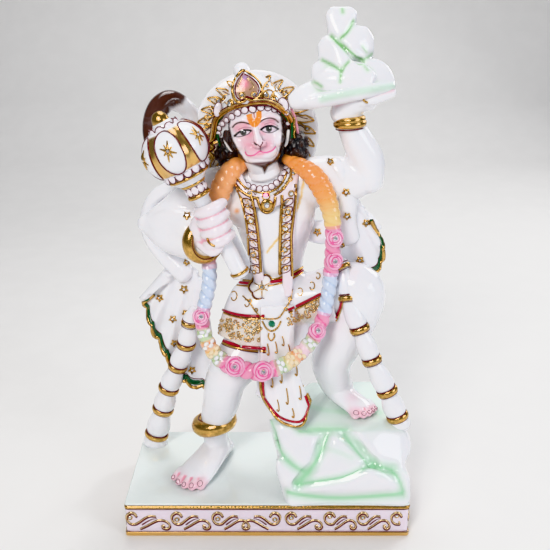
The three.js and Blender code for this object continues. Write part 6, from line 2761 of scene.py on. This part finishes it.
@dataclass
class Necklace:
    """The pearl collar, the jewelled collar and both long strands."""

    grain: float = 0.0005
    pearl: Pearl = Pearl((1.0, 0.9, 0.5), (1.05, 0.95, 0.12), 0.24, (16, 9), 14)

    def build(self, shop: Workshop, box: Box) -> None:
        """Make the pearls, the bars and the stones."""
        skin = shop.skins("body", "head")
        clay = Clay()
        for u, v, turn in COLLAR:
            hit = skin.meet(u, v)
            if hit:
                stand = axes(*hit) @ Matrix.Rotation(math.radians(turn), 4, "Z")
                self.pearl.seat(clay, box.maroon, stand, 0.0019)
        shop.sign(clay.settle("collar_pearls"), Finish.PEARL)
        bar = Clay()
        for stations in STRANDS:
            bar.limb(stations, 18, steps=6)
        canvas = Canvas(bar.fuse("strands", self.grain, 2))
        canvas.lay(0.3 * canvas.front, Paint.BLUSH)
        shop.show(canvas)
        skin = shop.skins("strands", "body", "head")
        for points, radius in STRAND_LINES:
            box.edged(skin, points, radius)
        for k in range(9):
            v = 202 + 8.4 * k
            left = float(np.interp(v, (201, 221, 240, 262, 283), (247.0, 251.3, 253.4, 254.8, 255.6)))
            right = float(np.interp(v, (200, 225, 256, 276), (288.6, 286.5, 285.7, 286.0)))
            for middle, way in ((left, 1), (right, -1)):
                leaf, inset = ([(middle + way * x, v + y) for x, y in shape] for shape in (FROND, VEIN))
                box.maroon.draw(skin, leaf, 0.3, closed=True)
                box.gold.draw(skin, [(u, w + 0.5) for u, w in leaf[:4]], 0.36)
                box.pale.draw(skin, inset, 0.3)
        for turn in (math.radians(205 - 25 * k) for k in range(9)):
            u, v = 262 + 26.5 * math.cos(turn), 170 + 24 * math.sin(turn)
            box.maroon.draw(skin, [(u - 1.8, v - 1.2), (u, v + 1.6), (u + 1.8, v - 1.2)], 0.24)
        for u, v, radius in (
            (251, 221, 1.6), (253.4, 255, 1.6), (291, 193.5, 1.6), (288, 212, 1.6), (285.6, 229, 1.6),
            (285, 249.6, 1.6), (232.8, 179.7, 1.2), (238.6, 189, 1.3), (249.6, 193.8, 1.2),
            (293, 173, 1.2), (290.4, 179.4, 1.2), (283.4, 188.4, 1.1), (254.4, 272, 1.1),
            (285.8, 268, 1.1), (247.4, 206, 1.0), (249, 237, 1.0),
        ):
            box.stone(skin, u, v, radius)
        box.rosy.seat(*skin.meet(265.9, 195.6), 2.2)
        box.edged(skin, [(262.6, 193), (262.6, 198), (266, 199.8), (269.4, 198), (269.4, 193)], 0.4)
        drop = [(257, 197), (259, 204), (262, 210), (267, 212.5), (272, 209.6), (274.6, 203), (275.4, 197)]
        box.edged(skin, drop, 0.8)
        place, normal = skin.meet(266.8, 204.8)
        profile = [(0.0034, -0.0008), (0.0035, 0.0006), (0.0028, 0.0012), (0.0015, 0.0014)]
        gold = Clay().turned(profile, axes(place, normal), 28)
        shop.sign(gold.settle("pendant"), Finish.GOLD)
        box.set(place + normal * 0.0013, normal, 1.9, rim=False)


@dataclass
class Studio:
    """Floor, light and camera."""

    target: Station = (0.0, 0.0, 0.15)
    sensor: float = 36.0
    picture: float = 550.0

    def build(self) -> None:
        """Set the floor and backdrop, the lamps and the camera."""
        clay = Clay()
        bm = clay.bm
        line = [(-1.4, 0.0), (0.7, 0.0), (0.95, 0.03), (1.12, 0.12), (1.22, 0.3), (1.26, 0.6), (1.27, 2.0)]
        verts = [bm.verts.new((-2.5, y, z)) for y, z in line]
        edges = [bm.edges.new(pair) for pair in zip(verts, verts[1:])]
        made = bmesh.ops.extrude_edge_only(bm, edges=edges)
        moved = [g for g in made["geom"] if isinstance(g, BMVert)]
        bmesh.ops.translate(bm, verts=moved, vec=(5.0, 0, 0))
        floor = clay.settle("floor")
        floor.data.materials.append(Finish.FLOOR.value.mix())
        self._lamps()
        self._camera()

    def _lamps(self) -> None:
        """Hang the lamps and light the surroundings softly."""
        backdrop = (0.0, 1.2, 0.35)
        for name, place, target, size, power, tint in (
            ("key", (-0.36, -0.86, 0.82), self.target, 0.35, 9.0, (1.0, 0.98, 0.95)),
            ("fill", (0.80, -0.55, 0.50), self.target, 0.4, 3.2, (0.94, 0.96, 1.0)),
            ("top", (0.0, 0.25, 1.1), self.target, 0.5, 3.4, (1.0, 1.0, 1.0)),
            ("rim", (0.7, 0.6, 0.6), self.target, 0.3, 3.0, (1.0, 1.0, 1.0)),
            ("backdrop", (0.0, 0.75, 1.5), backdrop, 0.9, 6.0, (1.0, 1.0, 1.0)),
        ):
            lamp = bpy.data.lights.new(name, "AREA")
            lamp.size = size
            lamp.energy = power
            lamp.color = tint
            stand = bpy.data.objects.new(name, lamp)
            stand.location = place
            aim = Vector(target) - Vector(place)
            stand.rotation_euler = aim.to_track_quat("-Z", "Y").to_euler()
            bpy.context.scene.collection.objects.link(stand)
        world = bpy.data.worlds.new("studio")
        world.use_nodes = True
        sky = world.node_tree.nodes["Background"]
        sky.inputs["Color"].default_value = (0.80, 0.84, 0.92, 1.0)
        sky.inputs["Strength"].default_value = 0.22
        bpy.context.scene.world = world
        bpy.context.scene.view_settings.view_transform = "Khronos PBR Neutral"

    def _camera(self) -> None:
        """Put the camera at the viewpoint of the sight lines."""
        lens = bpy.data.cameras.new("camera")
        lens.lens = self.sensor * SIGHT.reach / self.picture
        lens.sensor_width = self.sensor
        lens.clip_start = 0.01
        camera = bpy.data.objects.new("camera", lens)
        camera.location = SIGHT.eye
        camera.rotation_euler = (math.pi / 2 - SIGHT.pitch, 0, 0)
        bpy.context.scene.collection.objects.link(camera)
        bpy.context.scene.camera = camera


@dataclass
class PlinthStones:
    """The stones along the front of the plinth."""

    count: int = 8
    radius: float = 1.3

    def build(self, shop: Workshop, box: Box) -> None:
        """Seat each stone on the skin where the frame has it."""
        skin = shop.skins("plinth")
        for n in range(1, self.count + 1):
            box.set(*seat_of(f"stone_{n:02d}", skin), self.radius)


def main() -> None:
    """Build the figure and the studio."""
    logging.basicConfig(level=logging.INFO, format="%(name)s %(message)s")
    shop, box = Workshop(), Box()
    Plinth().build(shop, box)
    Rock().build(shop)
    Legs().build(shop, box)
    Body().build(shop)
    Fist().build(shop, box)
    Bangles().build(shop, box)
    Mountain().build(shop)
    Head().build(shop, box)
    Hair().build(shop)
    Halo().build(shop, box)
    Crown().build(shop, box)
    Mace().build(shop, box)
    Tail().build(shop)
    Shawl().build(shop, box)
    Straps().build(shop, box)
    Skirt().build(shop, box)
    Garland().build(shop, box)
    Necklace().build(shop, box)
    PlinthStones().build(shop, box)
    box.done(shop)
    for name, piece in shop.pieces.items():
        LOG.info("%s: %d faces", name, len(piece.data.polygons))
    Studio().build()


if __name__ == "__main__":
    main()
